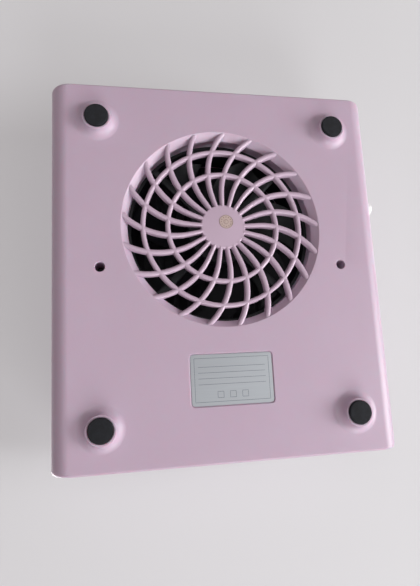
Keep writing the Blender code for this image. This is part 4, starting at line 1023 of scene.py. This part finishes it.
    def build(self) -> Thing:
        """Loft the tray, hollow it, and cut its throat, wells, pocket and holes."""
        face, floor = HOME.foot_height, HOME.foot_height + HOME.wall
        lip_top = HOME.part_z + HOME.lip_height
        tray = make_mesh("tray", [HOME.tray_loft(0.0, face, HOME.part_z)])
        work(tray, Joining.WELD, HOME.tray_loft(HOME.wall / 2, face + HOME.wall / 2, lip_top))
        cavity = make_mesh("cavity", [HOME.tray_loft(HOME.wall, floor, lip_top + OVER)])
        collar, root = HOME.throat_radius + self.collar_wall, HOME.grille_radius + self.collar_root
        work(cavity, Joining.CUT, turned([
            (root, face, 0), (root, floor, self.throat_edge),
            (collar, face + HOME.throat_depth * 2 / 3, self.collar_edge),
            (collar, face + HOME.throat_depth, 0),
        ], 160, HOME.fan_axis, 4))
        combine(tray, Joining.CUT, cavity)
        work(tray, Joining.CUT, *self.floor_cuts(face), *self.wall_cuts())
        work(tray, Joining.WELD, *[self.foot(place) for place in self.feet()])
        gather(tray, self.posts(face + HOME.wall * self.well_depth_share + self.post_rise))
        return polish(tray)


@dataclass
class Cover:
    """The top shell: deck, hand rest, filter well and screw pillars."""

    tray: Tray
    ledge_z: float = 0.0441
    ledge_top: float = 0.0465
    well_wall: float = 0.0020
    pillar: float = 0.0038
    pilot: float = 0.0007
    lip: float = 0.0005
    bite: float = 0.013

    def pillars(self) -> list[Surface]:
        """Hollow pillars that the case screws and foot screws bite into."""
        tray = self.tray
        rings = []
        for places, well in ((tray.case_screws(), tray.case_well), (tray.feet(), tray.foot_well)):
            low = HOME.foot_height + well + tray.boss_seat + HOME.gap
            for place in places:
                fall = float(HOME.deck_fall(np.array(place[1] - tray.well_radius)))
                high = HOME.deck_z - HOME.wall / 2 - fall
                rings.append(turned([
                    (self.pillar, low, SOFT), (self.pillar, high, 0), (self.pilot, high, 0),
                    (self.pilot, low + self.bite, 0), (tray.shank_radius, low + self.bite, 0),
                    (tray.shank_radius, low, 0)], 28, place, 3, True))
        return rings

    def build(self) -> Thing:
        """Loft the cover, hollow it round the well's wall, and cut the duct and the well."""
        cover = make_mesh("cover", [HOME.cover_loft(0.0, HOME.part_z + HOME.gap, HOME.deck_z)])
        cavity = make_mesh("cavity", [
            HOME.cover_loft(HOME.wall, HOME.part_z - OVER, HOME.deck_z - HOME.wall)])
        work(cavity, Joining.CUT, rod(HOME.well_radius + self.well_wall, self.ledge_z,
                                      HOME.deck_z, 160, HOME.fan_axis))
        combine(cover, Joining.CUT, cavity)
        mouth = lip(HOME.well_radius, HOME.deck_z, 90.0, self.lip, 1)[::-1]
        work(cover, Joining.CUT, revolved(np.vstack([
            [(HOME.duct_radius, self.ledge_z - OVER), (HOME.duct_radius, self.ledge_top),
             (HOME.well_radius, self.ledge_top)], mouth]), 192, HOME.fan_axis))
        work(cover, Joining.CUT, HOME.tray_loft(
            HOME.wall / 2 - HOME.gap, HOME.foot_height, HOME.part_z + HOME.lip_height + HOME.gap))
        gather(cover, self.pillars())
        return polish(cover)


# ---- outlet


@dataclass
class SwirlGrille:
    """The outlet's grille: spokes that leave the hub radially and then curve, over two ribs."""

    spokes: int = 21
    straight: float = 0.022
    arc: float = 0.0450
    phase_deg: float = 5.15
    hub_radius: float = 0.0143
    ribs: Pair = (0.03492, 0.05021)
    rib_width: float = 0.0029
    spoke_width: float = 0.0032
    root_share: float = 0.79
    depth: float = 0.0038
    sink: float = 0.0003
    hub_sink: float = 0.0006
    draft: float = 0.0001
    overlap: Pair = (0.001, 0.0009)

    def section(self, width: float) -> np.ndarray:
        """Cross-section of a rib on drafted flanks."""
        return crested(width / 2, width / 2 * 0.85, self.depth, 15, self.draft)

    def spoke(self, phase: float) -> Surface:
        """One spoke: straight to radius s, then x = s + a sin u, y = a (1 - cos u), all turned.

        It widens from its root to the first rib.

        Args:
            phase: Angle that it is turned by.

        Returns:
            The closed spoke, from inside the hub to inside the bevel.
        """
        reach = HOME.grille_radius + self.overlap[1]
        lean = math.atan2(self.straight, self.arc)
        side = 2 * self.arc * math.hypot(self.straight, self.arc)
        last = math.acos((self.straight ** 2 + 2 * self.arc ** 2 - reach ** 2) / side) - lean
        u = np.concatenate([np.zeros(4), np.linspace(0, last, 29)])
        x = self.straight + self.arc * np.sin(u)
        x[:4] = np.linspace(self.hub_radius - self.overlap[0], self.straight, 5)[:4]
        y = self.arc * (1 - np.cos(u))
        cosine, sine = math.cos(phase), math.sin(phase)
        path = np.stack([HOME.fan_axis[0] + x * cosine - y * sine,
                         HOME.fan_axis[1] + x * sine + y * cosine,
                         np.full(len(x), HOME.foot_height + self.sink)], -1)
        across = np.stack([-np.sin(phase + u), np.cos(phase + u), np.zeros(len(x))], -1)
        down = np.broadcast_to([0.0, 0.0, 1.0], path.shape)
        grown = np.clip((np.hypot(x, y) - self.hub_radius) / (self.ribs[0] - self.hub_radius), 0, 1)
        share = self.root_share + (1 - self.root_share) * grown
        section = np.repeat(self.section(self.spoke_width)[None], len(x), 0)
        section[..., 0] *= share[:, None]
        return swept(path, across, down, section)

    def build(self) -> Thing:
        """Sweep every spoke and rib, and turn the hub."""
        crest, face = HOME.foot_height + self.sink, HOME.foot_height + self.hub_sink
        parts = [self.spoke(float(turn))
                 for turn in around(self.spokes, math.radians(self.phase_deg))]
        parts += [revolved(self.section(self.rib_width) + [radius, crest], 168, HOME.fan_axis, True)
                  for radius in self.ribs]
        parts.append(turned([
            (0, face, 0), (self.hub_radius, face, 0.0008),
            (self.hub_radius + self.draft, crest + self.depth, 0), (0, crest + self.depth, 0),
        ], 96, HOME.fan_axis, 6))
        return make_mesh("swirl_grille", parts)


@dataclass
class DateDial:
    """Plain mould dial on the hub: a shallow disc with grooves and twelve dots, no figures."""

    radius: float = 0.0045
    offset: Pair = (-0.0019, 0.0031)
    level: float = 0.0072
    proud: float = 0.00015
    boss_proud: float = 0.0001
    rim_sunk: float = 0.00005
    back: float = 0.0004
    dots: int = 12
    dot_radius: float = 0.00032
    dot_share: float = 0.70
    rings: Pair = (0.31, 0.957)
    line: float = 0.00012
    # How far the dial's ring lines stand proud of its face; these lines are painted shade.
    ink: float = 0.00002

    @property
    def centre(self) -> Pair:
        """Middle of the dial, a little off the fan's axis."""
        x, y = HOME.fan_axis
        return x + self.offset[0], y + self.offset[1]

    def disc(self) -> Thing:
        """Turn the disc's stepped profile: a boss in the middle, a groove round it and a rim."""
        top, deep = self.level - self.proud, self.level - self.proud / 3
        boss, edge, back = top - self.boss_proud, top + self.rim_sunk, self.level + self.back
        profile = np.array([
            (0.0, boss), (0.10, boss), (0.14, deep), (0.22, deep), (0.26, top), (0.36, top),
            (0.40, deep), (0.90, deep), (0.93, top), (0.985, top), (1.0, edge), (1.0, back),
            (0.0, back),
        ]) * [self.radius, 1]
        return make_mesh("date_dial", [revolved(profile, 72, self.centre)], 25.0)

    def marks(self) -> Thing:
        """Stand the dots in a ring, and lay dark lines on the dial's rim and its middle ring:
        painted shade of the moulded marks.
        """
        low, high = self.level - self.proud, self.level + 0.0001
        reach = self.dot_share * self.radius
        marks = [rod(self.dot_radius, low, high, 12, (self.centre[0] + reach * math.cos(turn),
                                                      self.centre[1] + reach * math.sin(turn)))
                 for turn in around(self.dots)]
        for share in self.rings:
            near, far = share * self.radius - self.line, share * self.radius + self.line
            line = [(near, low - self.ink), (far, low - self.ink), (far, high), (near, high)]
            marks.append(revolved(np.array(line), 72, self.centre, True))
        return make_mesh("date_dial_marks_painted_shade", marks)


@dataclass
class FootPad:
    """Round rubber pad that stands in its foot's recess."""

    radius: float = 0.0071
    thickness: float = 0.0022
    edge: float = 0.0006

    def build(self, name: str, place: Pair) -> Thing:
        """Turn the pad about its place: a flat disc whose lower rim is a quarter circle."""
        return make_mesh(name, [turned([
            (0, 0, 0), (self.radius, 0, self.edge), (self.radius, self.thickness, FINE),
            (0, self.thickness, 0),
        ], 72, place, 6)])


@dataclass
class BareLabel:
    """Silver label in its pocket, with the ruled fields of an unfilled form."""

    size: Pair = (0.025, 0.015)
    corner: float = 0.0020
    edge: float = 0.00006
    low: float = 0.0069
    high: float = 0.0071
    line: float = 0.00022
    ink: float = 0.00002
    margin: float = 0.0022
    first_row: float = 0.0052
    row_step: float = 0.0034
    box: float = 0.0018
    box_step: float = 0.0075
    box_row: float = 0.0040

    def film(self) -> Thing:
        """Raise the film's rounded outline."""
        return make_mesh("rating_label", [
            prism(rounded_loop(*self.size, self.corner, 10), self.low, self.high,
                  HOME.label_centre, self.edge)])

    def bar(self, x: float, y: float, half_x: float, half_y: float) -> Surface:
        """A thin printed bar on the film, about (x, y) from its middle."""
        return prism(oblong(half_x, half_y), self.low - self.ink, self.low + self.ink,
                     (HOME.middle + x, HOME.label_y + y))

    def outline(self, x: float, y: float, half_x: float, half_y: float) -> list[Surface]:
        """Four bars along the sides of a rectangle about (x, y)."""
        thin = self.line / 2
        return [self.bar(x, y + side * half_y, half_x + thin, thin) for side in (-1, 1)] + [
            self.bar(x + side * half_x, y, thin, half_y - 2 * thin) for side in (-1, 1)]

    def fields(self) -> Thing:
        """Rule the label's border, its empty lines and a row of three empty boxes."""
        wide, tall = self.size[0] - self.margin, self.size[1] - self.margin
        bars = self.outline(0, 0, wide, tall)
        bars += [self.bar(0, tall - self.first_row - self.row_step * row, wide - self.margin,
                          self.line / 2) for row in range(4)]
        for column in (-1, 0, 1):
            bars += self.outline(self.box_step * column, self.box_row - tall, self.box, self.box)
        return make_mesh("label_fields", bars)


# ---- cartridge and fan


@dataclass
class IntakeGrille:
    """Lift-out cover of the filter: rim, spokes, two ribs, hub and grip."""

    radius: float = 0.0656
    rim: float = 0.0040
    low: float = 0.0604
    spokes: int = 12
    hub: float = 0.0120
    width: float = 0.0024
    depth: float = 0.0030
    crest: float = 0.0002
    edge: float = 0.0008
    overlap: float = 0.001
    grip: Triple = (0.0170, 0.0036, 0.0050)

    def build(self) -> Thing:
        """Turn the rim, hub and ribs, sweep the spokes and raise the grip."""
        deck, axis = HOME.deck_z, HOME.fan_axis
        inner, crest = self.radius - self.rim, deck + self.crest
        section = crested(self.width / 2, self.width / 2 * -0.8, -self.depth, 13)
        step = (inner - self.hub) / 3
        long, wide, tall = self.grip
        return make_mesh("intake_grille_moulded", [
            turned([
                (self.radius, self.low, FINE), (self.radius, deck, self.edge),
                (inner, deck, self.edge), (inner, self.low, FINE),
            ], 192, axis, closed=True),
            turned([
                (0, self.low, 0), (self.hub, self.low, FINE), (self.hub, deck, self.edge),
                (0, deck, 0),
            ], 96, axis),
            *[revolved(section + [self.hub + ring * step, crest], 144, axis, True)
              for ring in (1, 2)],
            *rays(around(self.spokes), (*axis, crest),
                  (self.hub - self.overlap, inner + self.overlap), section),
            prism(rounded_loop(long / 2, wide / 2, wide / 2 - 0.00001, 10),
                  deck - self.overlap, deck + tall, axis, self.edge),
        ])


@dataclass
class FilterFrame:
    """Plastic ring round the pleats, with an inward foot below."""

    wall: float = 0.0020
    foot: float = 0.0026
    foot_thickness: float = 0.0014

    def build(self) -> Thing:
        """Turn the ring's L-shaped section inside its node's box."""
        low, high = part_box("filter_frame")
        outer = (high.x - low.x) / 2
        inner, step = outer - self.wall, low.z + self.foot_thickness
        tip = inner - self.foot
        corners = [(outer, low.z), (outer, high.z), (inner, high.z), (inner, step), (tip, step),
                   (tip, low.z)]
        return make_mesh("filter_frame_moulded", [
            turned([(*corner, SOFT) for corner in corners], 160,
                   ((low.x + high.x) / 2, (low.y + high.y) / 2), 4, True)])


@dataclass
class FanUnit:
    """The axial fan: square frame with struts, and the rotor with its swept blades."""

    size: float = 0.120
    low: float = 0.0186
    height: float = 0.025
    corner: float = 0.006
    flange: float = 0.0032
    bore: float = 0.0576
    barrel: float = 0.0018
    waist_edge: float = 0.0008
    hole: float = 0.0022
    struts: int = 4
    strut_half: float = 0.0025
    strut_crest: float = 0.0010
    strut_depth: float = 0.003
    overlap: float = 0.001
    plate_radius: float = 0.0205
    plate: float = 0.0022
    plate_edge: float = 0.0006
    plate_rim: Pair = (0.0018, 0.003)
    axis_gap: float = 0.0001
    tube: tuple[Pair, ...] = ((0.0064, 0.0082), (0.0054, 0.018))
    tube_bore: float = 0.0043
    blades: int = 7
    chord: float = 0.0270
    tip_gap: float = 0.0010
    pitch_deg: Pair = (42.0, 27.0)
    sweep_deg: float = 20.0
    camber: float = 0.0016
    blade_z: float = 0.0134
    blade_thickness: Pair = (0.0007, 0.0016)
    cup: float = 0.0205
    cup_wall: float = 0.0015
    cup_low: float = 0.0231
    cup_high: float = 0.0418
    cup_edge: float = 0.0018
    boss: Pair = (0.0034, 0.0186)
    shaft_hole: float = 0.0018

    def frame(self) -> Thing:
        """Raise the square, cut its waist, bore and holes, and add struts and the motor's tube."""
        axis, low, high = HOME.fan_axis, self.low, self.low + self.height
        loop = rounded_loop(self.size / 2, self.size / 2, self.corner, 10)
        made = make_mesh("fan_frame_moulded", [prism(loop, low, high, axis, SOFT)])
        outer = self.bore + self.barrel
        work(made, Joining.CUT, turned([
            (outer, low + self.flange, self.waist_edge), (self.size, low + self.flange, 0),
            (self.size, high - self.flange, 0), (outer, high - self.flange, self.waist_edge),
        ], 144, axis, 4, True))
        work(made, Joining.CUT, rod(self.bore, low - OVER, high + OVER, 192, axis), *[
            rod(self.hole, low - OVER, high + OVER, 28, place)
            for place in four(axis, HOME.fan_hole_reach, HOME.fan_hole_reach)])
        gather(made, self.spider())
        return polish(made)

    def spider(self) -> list[Surface]:
        """Struts with rounded crests, and the motor plate with the bearing tube on it."""
        axis, low = HOME.fan_axis, self.low
        plate, rim = low + self.plate, self.plate_radius - self.plate_rim[0]
        high = low + self.plate_rim[1]
        (wide, step), (slim, end) = self.tube
        section = crested(self.strut_half, self.strut_crest, self.strut_depth, 9)
        return [turned([
            (self.axis_gap, low, 0), (self.plate_radius, low, self.plate_edge),
            (self.plate_radius, high, FINE),
            (rim, high, FINE), (rim, plate, 0), (wide, plate, 0), (wide, low + step, FINE),
            (slim, low + step, 0), (slim, low + end, FINE), (self.tube_bore, low + end, 0),
            (self.tube_bore, plate, 0), (self.axis_gap, plate, 0),
        ], 72, axis, 4, True), *rays(
            around(self.struts, math.pi / self.struts), (*axis, low + HOME.gap),
            (self.plate_radius - self.overlap, self.bore + self.overlap), section)]

    def blade(self, turn: float) -> Surface:
        """One blade: the pitch eases off and the sweep grows as share^2 from root to tip.

        A point at chord place c (from -1/2 to 1/2) lies at the angle sweep + chord cos(p) c / r
        and the height middle + chord sin(p) c + camber (1 - 4 c^2).

        Args:
            turn: Angle of its root.

        Returns:
            The closed blade.
        """
        share = np.linspace(0, 1, 15)[:, None]
        along = np.linspace(-0.5, 0.5, 17)[None]
        root, tip = self.cup - self.cup_wall / 2, self.bore - self.tip_gap
        radius = root + (tip - root) * share
        steep, flat = self.pitch_deg
        pitch = np.radians(steep - (steep - flat) * share)
        bulge = 1 - 4 * along ** 2
        thin, thick = self.blade_thickness
        half = (thin + (thick - thin) * np.sqrt(bulge)) / 2
        level = self.low + self.blade_z + self.chord * np.sin(pitch) * along + self.camber * bulge
        angle = (turn + math.radians(self.sweep_deg) * share ** 2
                 + self.chord * np.cos(pitch) * along / radius)
        x = HOME.fan_axis[0] + radius * np.cos(angle)
        y = HOME.fan_axis[1] + radius * np.sin(angle)
        upper = np.stack([x, y, level + half], -1)
        lower = np.stack([x, y, level - half], -1)[:, ::-1]
        return Surface(np.concatenate([upper, lower], 1))

    def rotor(self) -> Thing:
        """Turn the hub's cup with the shaft's boss, and add the blades."""
        low, high, hole = self.cup_low, self.cup_high, self.shaft_hole
        roof, inner = high - self.cup_wall, self.cup - self.cup_wall
        wide, boss = self.boss[0], self.low + self.boss[1]
        return make_mesh("fan_rotor_moulded", [turned([
            (self.cup, low, SOFT), (self.cup, high, self.cup_edge), (hole, high, FINE),
            (hole, boss, 0), (wide, boss, 0), (wide, roof, 0), (inner, roof, 0),
            (inner, low, SOFT),
        ], 96, HOME.fan_axis, 6, True), *map(self.blade, around(self.blades))])


# ---- small pieces


@dataclass
class PowerButton:
    """Domed push button in its bushing, in the -X wall."""

    radius: float = 0.0050
    proud: float = 0.0064
    dome: float = 0.0018
    fullness: float = 0.9
    stem: Pair = (0.0012, -0.0100)
    skirt: float = -0.0040
    clearance: float = 0.0003
    tube: Pair = (0.0061, -0.0081)
    flange: Pair = (0.0070, 0.0017)

    def outward(self, surface: Surface) -> Surface:
        """Lay a surface made about Z along -X, from the outer face of the wall."""
        wall = HOME.middle - HOME.width / 2
        return laid(surface, (wall, *HOME.button_place), ((0, 0, 1), (0, 1, 0), (-1, 0, 0)))

    def cap(self) -> Thing:
        """Turn the button: r = R cos^f u and height = rim + dome sin u, with f its fullness."""
        turn = np.linspace(0, math.pi / 2 - 0.02, 17)
        rim, (stem, end) = self.proud - self.dome, self.stem
        round_top = np.stack([self.radius * np.cos(turn) ** self.fullness,
                              rim + self.dome * np.sin(turn)], -1)
        profile = np.vstack([[(stem, end), (stem, self.skirt), (self.radius, self.skirt)],
                             round_top])
        return make_mesh("power_button_cap", [self.outward(revolved(profile, 72))])

    def bushing(self) -> Thing:
        """Turn the bushing: a tube through the wall with a rounded flange outside it."""
        bore, (tube, end), (flange, face) = self.radius + self.clearance, self.tube, self.flange
        return make_mesh("button_bushing", [self.outward(turned([
            (bore, end, 0), (tube, end, FINE), (tube, HOME.gap, 0), (flange, HOME.gap, 0.0001),
            (flange, face, 0.0005), (bore, face, SOFT),
        ], 72, closed=True))])


@dataclass
class PowerInlet:
    """Barrel inlet: a box on the board, its nose in the back wall and a pin in its bore."""

    half: Pair = (0.0046, 0.0053)
    span: Pair = (-0.0162, -0.0027)
    nose: Triple = (0.0042, -0.0040, -0.0006)
    bore: Triple = (0.0031, -0.0101, 0.0014)
    pin: Triple = (0.0010, -0.0110, -0.0016)

    def outward(self, surface: Surface) -> Surface:
        """Lay a surface made about Z along +Y, from the outer face of the back wall."""
        x, z = HOME.inlet_place
        return laid(surface, (x, HOME.depth / 2, z), ((1, 0, 0), (0, 0, -1), (0, 1, 0)))

    def plug(self, size: Triple, edge: float, steps: int) -> Surface:
        """A bar of (radius, inner end, outer end) with a rounded outer rim."""
        radius, low, high = size
        corners = [(0, low, 0), (radius, low, 0), (radius, high, edge), (0, high, 0)]
        return self.outward(turned(corners, steps, arc=4))

    def build(self) -> Thing:
        """Raise the box, weld the nose on, cut its bore and stand the pin in it."""
        box = prism(rounded_loop(*self.half, 0.0004, 3), *self.span, (0, 0), FINE)
        made = make_mesh("power_inlet_moulded", [self.outward(box)])
        work(made, Joining.WELD, self.plug(self.nose, SOFT, 56))
        work(made, Joining.CUT, self.outward(rod(*self.bore, 48)))
        gather(made, [self.plug(self.pin, 0.0005, 24)])
        return polish(made)


@dataclass
class CaseScrew:
    """Pan-head screw seen at the end of its well, with a cross recess."""

    seat: float = 0.0223
    radius: float = 0.0015
    head: float = 0.0027
    head_edge: float = 0.0009
    tall: float = 0.0020
    length: float = 0.0121
    point: float = 0.0012
    recess: Triple = (0.0014, 0.0003, 0.0011)

    def build(self, name: str, place: Pair) -> Thing:
        """Turn the head and shank, and cut the recess with two crossed bars.

        Args:
            name: The piece's name.
            place: Its centre.

        Returns:
            The piece.
        """
        top, end = self.seat - self.tall, self.seat + self.length
        made = make_mesh(name, [turned([
            (0, top, 0), (self.head, top, self.head_edge), (self.head, self.seat, 0),
            (self.radius, self.seat, 0), (self.radius, end - self.point, 0), (0, end, 0),
        ], 48, place)])
        long, thin, deep = self.recess
        work(made, Joining.CUT, *[prism(oblong(a, b), top - 0.001, top + deep, place)
                                  for a, b in ((long, thin), (thin, long))])
        return polish(made)


# ---- studio


@dataclass
class Studio:
    """Pale room, floor and backdrop, soft lamps, and the camera under the part."""

    reach: float = 14.0
    backdrop_z: float = 0.0700
    pale: str = "cfcfd2"
    warm: str = "ffdcdf"
    light: float = 0.18
    seen: float = 0.75
    sheen: float = 0.35
    fade: Pair = (0.22, 0.7)
    aim: Triple = (0.0, 0.0, 0.03)
    lens: float = 27.68
    shift: Pair = (-0.0008, 0.0178)
    eye: Triple = (0.06287, -0.06556, -0.25975)
    eye_right: Triple = (-0.98383, -0.05196, -0.17139)
    eye_back: Triple = (0.17744, -0.15311, -0.97215)

    def sheet(self, name: str, z: float, facing: int) -> None:
        """A wide sheet that shows only from the side it faces, and hides no lamp.

        Args:
            name: Its name.
            z: Its height.
            facing: 1 where it faces up, -1 where it faces down.
        """
        corners = oblong(self.reach, self.reach)[::facing]
        mesh = bpy.data.meshes.new(name)
        mesh.from_pydata([(x, y, z) for x, y in corners], [], [(0, 1, 2, 3)])
        made = linked(name, mesh)
        for rays_seen in ("shadow", "diffuse", "glossy", "transmission"):
            setattr(made, "visible_" + rays_seen, False)
        paint = bpy.data.materials.new(name)
        paint.use_nodes = True
        tree = paint.node_tree
        tree.nodes.clear()
        side = add(tree, "NewGeometry").outputs["Backfacing"]
        place = add(tree, "TexCoord").outputs["Object"]
        away = add(tree, "VectorMath", {0: place}, operation="LENGTH").outputs["Value"]
        fade = add(tree, "MapRange",
                   {"Value": away, "From Min": self.fade[0], "From Max": self.fade[1],
                    "To Min": self.sheen}, interpolation_type="SMOOTHSTEP")
        paper = add(tree, "BsdfDiffuse", {"Color": linear(self.pale)})
        glow = add(tree, "Emission", {"Strength": self.seen})
        front = add(tree, "MixShader",
                    {0: fade.outputs[0], 1: paper.outputs[0], 2: glow.outputs[0]})
        back = add(tree, "BsdfTransparent")
        mix = add(tree, "MixShader", {0: side, 1: front.outputs[0], 2: back.outputs[0]})
        add(tree, "OutputMaterial", {"Surface": mix.outputs[0]})
        mesh.materials.append(paint)

    def room(self) -> None:
        """World that looks pale to the camera, gloss and glass, and lights the part softly."""
        world = bpy.data.worlds.new("pale_room")
        bpy.context.scene.world = world
        world.use_nodes = True
        tree = world.node_tree
        tree.nodes.clear()
        path = add(tree, "LightPath").outputs
        watched = path["Is Camera Ray"]
        for ray in ("Is Glossy Ray", "Is Transmission Ray"):
            watched = add(tree, "Math", {0: watched, 1: path[ray]}, operation="MAXIMUM").outputs[0]
        soft, open_air = (
            add(tree, "Background", {"Color": linear(colour), "Strength": strength}).outputs[0]
            for colour, strength in ((self.warm, self.light), ("ffffff", self.seen)))
        both = add(tree, "MixShader", {0: watched, 1: soft, 2: open_air})
        add(tree, "OutputWorld", {"Surface": both.outputs[0]})

    def lamp(self, name: str, place: Sequence[float], size: float, power: float) -> None:
        """A square soft lamp that looks at the part.

        Args:
            name: Its name.
            place: Where it hangs.
            size: Its side.
            power: Its power in watts.
        """
        data = bpy.data.lights.new(name, "AREA")
        data.size, data.energy = size, power
        made = linked(name, data)
        made.location = place
        made.rotation_euler = (Vector(self.aim) - Vector(place)).to_track_quat("-Z", "Y").to_euler()
        made.visible_camera = False

    def camera(self) -> None:
        """The camera of the photograph: under the part, looking up at it."""
        data = bpy.data.cameras.new("camera")
        data.lens = self.lens
        data.shift_x, data.shift_y = self.shift
        data.clip_start, data.clip_end = 0.005, 20.0
        made = linked("camera", data)
        back = Vector(self.eye_back).normalized()
        up = back.cross(Vector(self.eye_right)).normalized()
        turn = Matrix((up.cross(back), up, back)).transposed().to_4x4()
        made.matrix_world = Matrix.Translation(self.eye) @ turn
        bpy.context.scene.camera = made

    def build(self) -> None:
        """Set up the sheets, the world, the lamps and the camera."""
        self.sheet("floor", 0.0, 1)
        self.sheet("backdrop", self.backdrop_z, -1)
        self.room()
        for name, place, size, power in (
            ("key_side", (-1.44, -0.25, -0.65), 0.8, 28.0),
            ("key_front", (-0.38, -1.41, -0.65), 0.8, 14.0),
            ("fill_below", (0.45, 0.10, -1.25), 1.2, 4.2),
            ("key_above", (0.9, -0.9, 1.3), 0.8, 20.0),
            ("fill_above", (-0.9, 0.6, 1.4), 1.6, 12.0),
        ):
            self.lamp(name, place, size, power)
        self.camera()
        bpy.context.scene.view_settings.view_transform = "Standard"


CORNERS = ("front_left", "front_right", "back_left", "back_right")

# CAD nodes whose shape is right, under the finish of their real material
CARRIED: dict[Finish, list[str]] = {
    Finish.STEEL: [f"{kind}_screw_{corner}" for kind in ("foot", "fan") for corner in CORNERS]
    + ["board_screw_left", "board_screw_right", "lower_bearing", "upper_bearing",
       "rotor_shaft", "switch_nut", "button_spring"],
    Finish.LAMINATION: ["stator_core"],
    Finish.COPPER: [f"stator_winding_{number}" for number in range(1, 5)],
    Finish.FERRITE: ["rotor_magnet"],
    Finish.BOARD: ["motor_board", "control_board"],
    Finish.FOAM: ["filter_gasket"],
    Finish.PAPER: ["filter_media"],
    Finish.BLACK: ["switch_body", "capacitor"],
    Finish.SHEATH: ["switch_lead", "fan_lead"],
}


def main() -> None:
    """Build every sub-assembly, dress the nodes that stay, and set up the studio."""
    logging.basicConfig(level=logging.INFO, format="%(name)s: %(message)s")
    wardrobe = Wardrobe()
    tray, dial, label = Tray(), DateDial(), BareLabel()
    fan, button = FanUnit(), PowerButton()
    seat, housing, shell, black = wardrobe.seat, Body.HOUSING, "abs_shell", "black_pbt"

    seat(tray.build(), Finish.SHELL, housing, shell, "bottom_shell")
    seat(SwirlGrille().build(), Finish.GRILLE, housing, shell, "bottom_shell")
    seat(dial.disc(), Finish.DIAL, housing, shell)
    seat(dial.marks(), Finish.DIAL_MARK_SHADE, housing, shell)
    seat(Cover(tray).build(), Finish.SHELL, housing, shell, "top_shell")
    seat(label.film(), Finish.LABEL, housing, "label_film", "rating_plate")
    seat(label.fields(), Finish.RULES, housing, "label_film")
    for corner, place in zip(CORNERS, tray.feet()):
        seat(FootPad().build("rubber_pad_" + corner, place), Finish.RUBBER, housing, "rubber",
             "foot_pad_" + corner)
    for side, place in zip(("left", "right"), tray.case_screws()):
        seat(CaseScrew().build("cross_screw_" + side, place), Finish.BLACK_ZINC_AND_WELL_SHADE, housing, "steel",
             "case_screw_" + side)
    seat(fan.frame(), Finish.BLACK, housing, black, "fan_frame")
    seat(fan.rotor(), Finish.BLACK, Body.FAN, black, "fan_rotor")
    seat(IntakeGrille().build(), Finish.GRILLE, Body.CARTRIDGE, shell, "intake_grille")
    seat(FilterFrame().build(), Finish.BLACK, Body.CARTRIDGE, black, "filter_frame")
    seat(button.cap(), Finish.WHITE, Body.BUTTON, "white_button", "power_button")
    seat(button.bushing(), Finish.SHELL, housing, shell, "switch_bushing")
    seat(PowerInlet().build(), Finish.BLACK, housing, black, "power_inlet")
    for finish, names in CARRIED.items():
        for name in names:
            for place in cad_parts[name].material_slots:
                place.material = wardrobe.material(finish)
            LOG.info("%s keeps its CAD shape in %s", name, finish.name.lower())
    Studio().build()


if __name__ == "__main__":
    main()
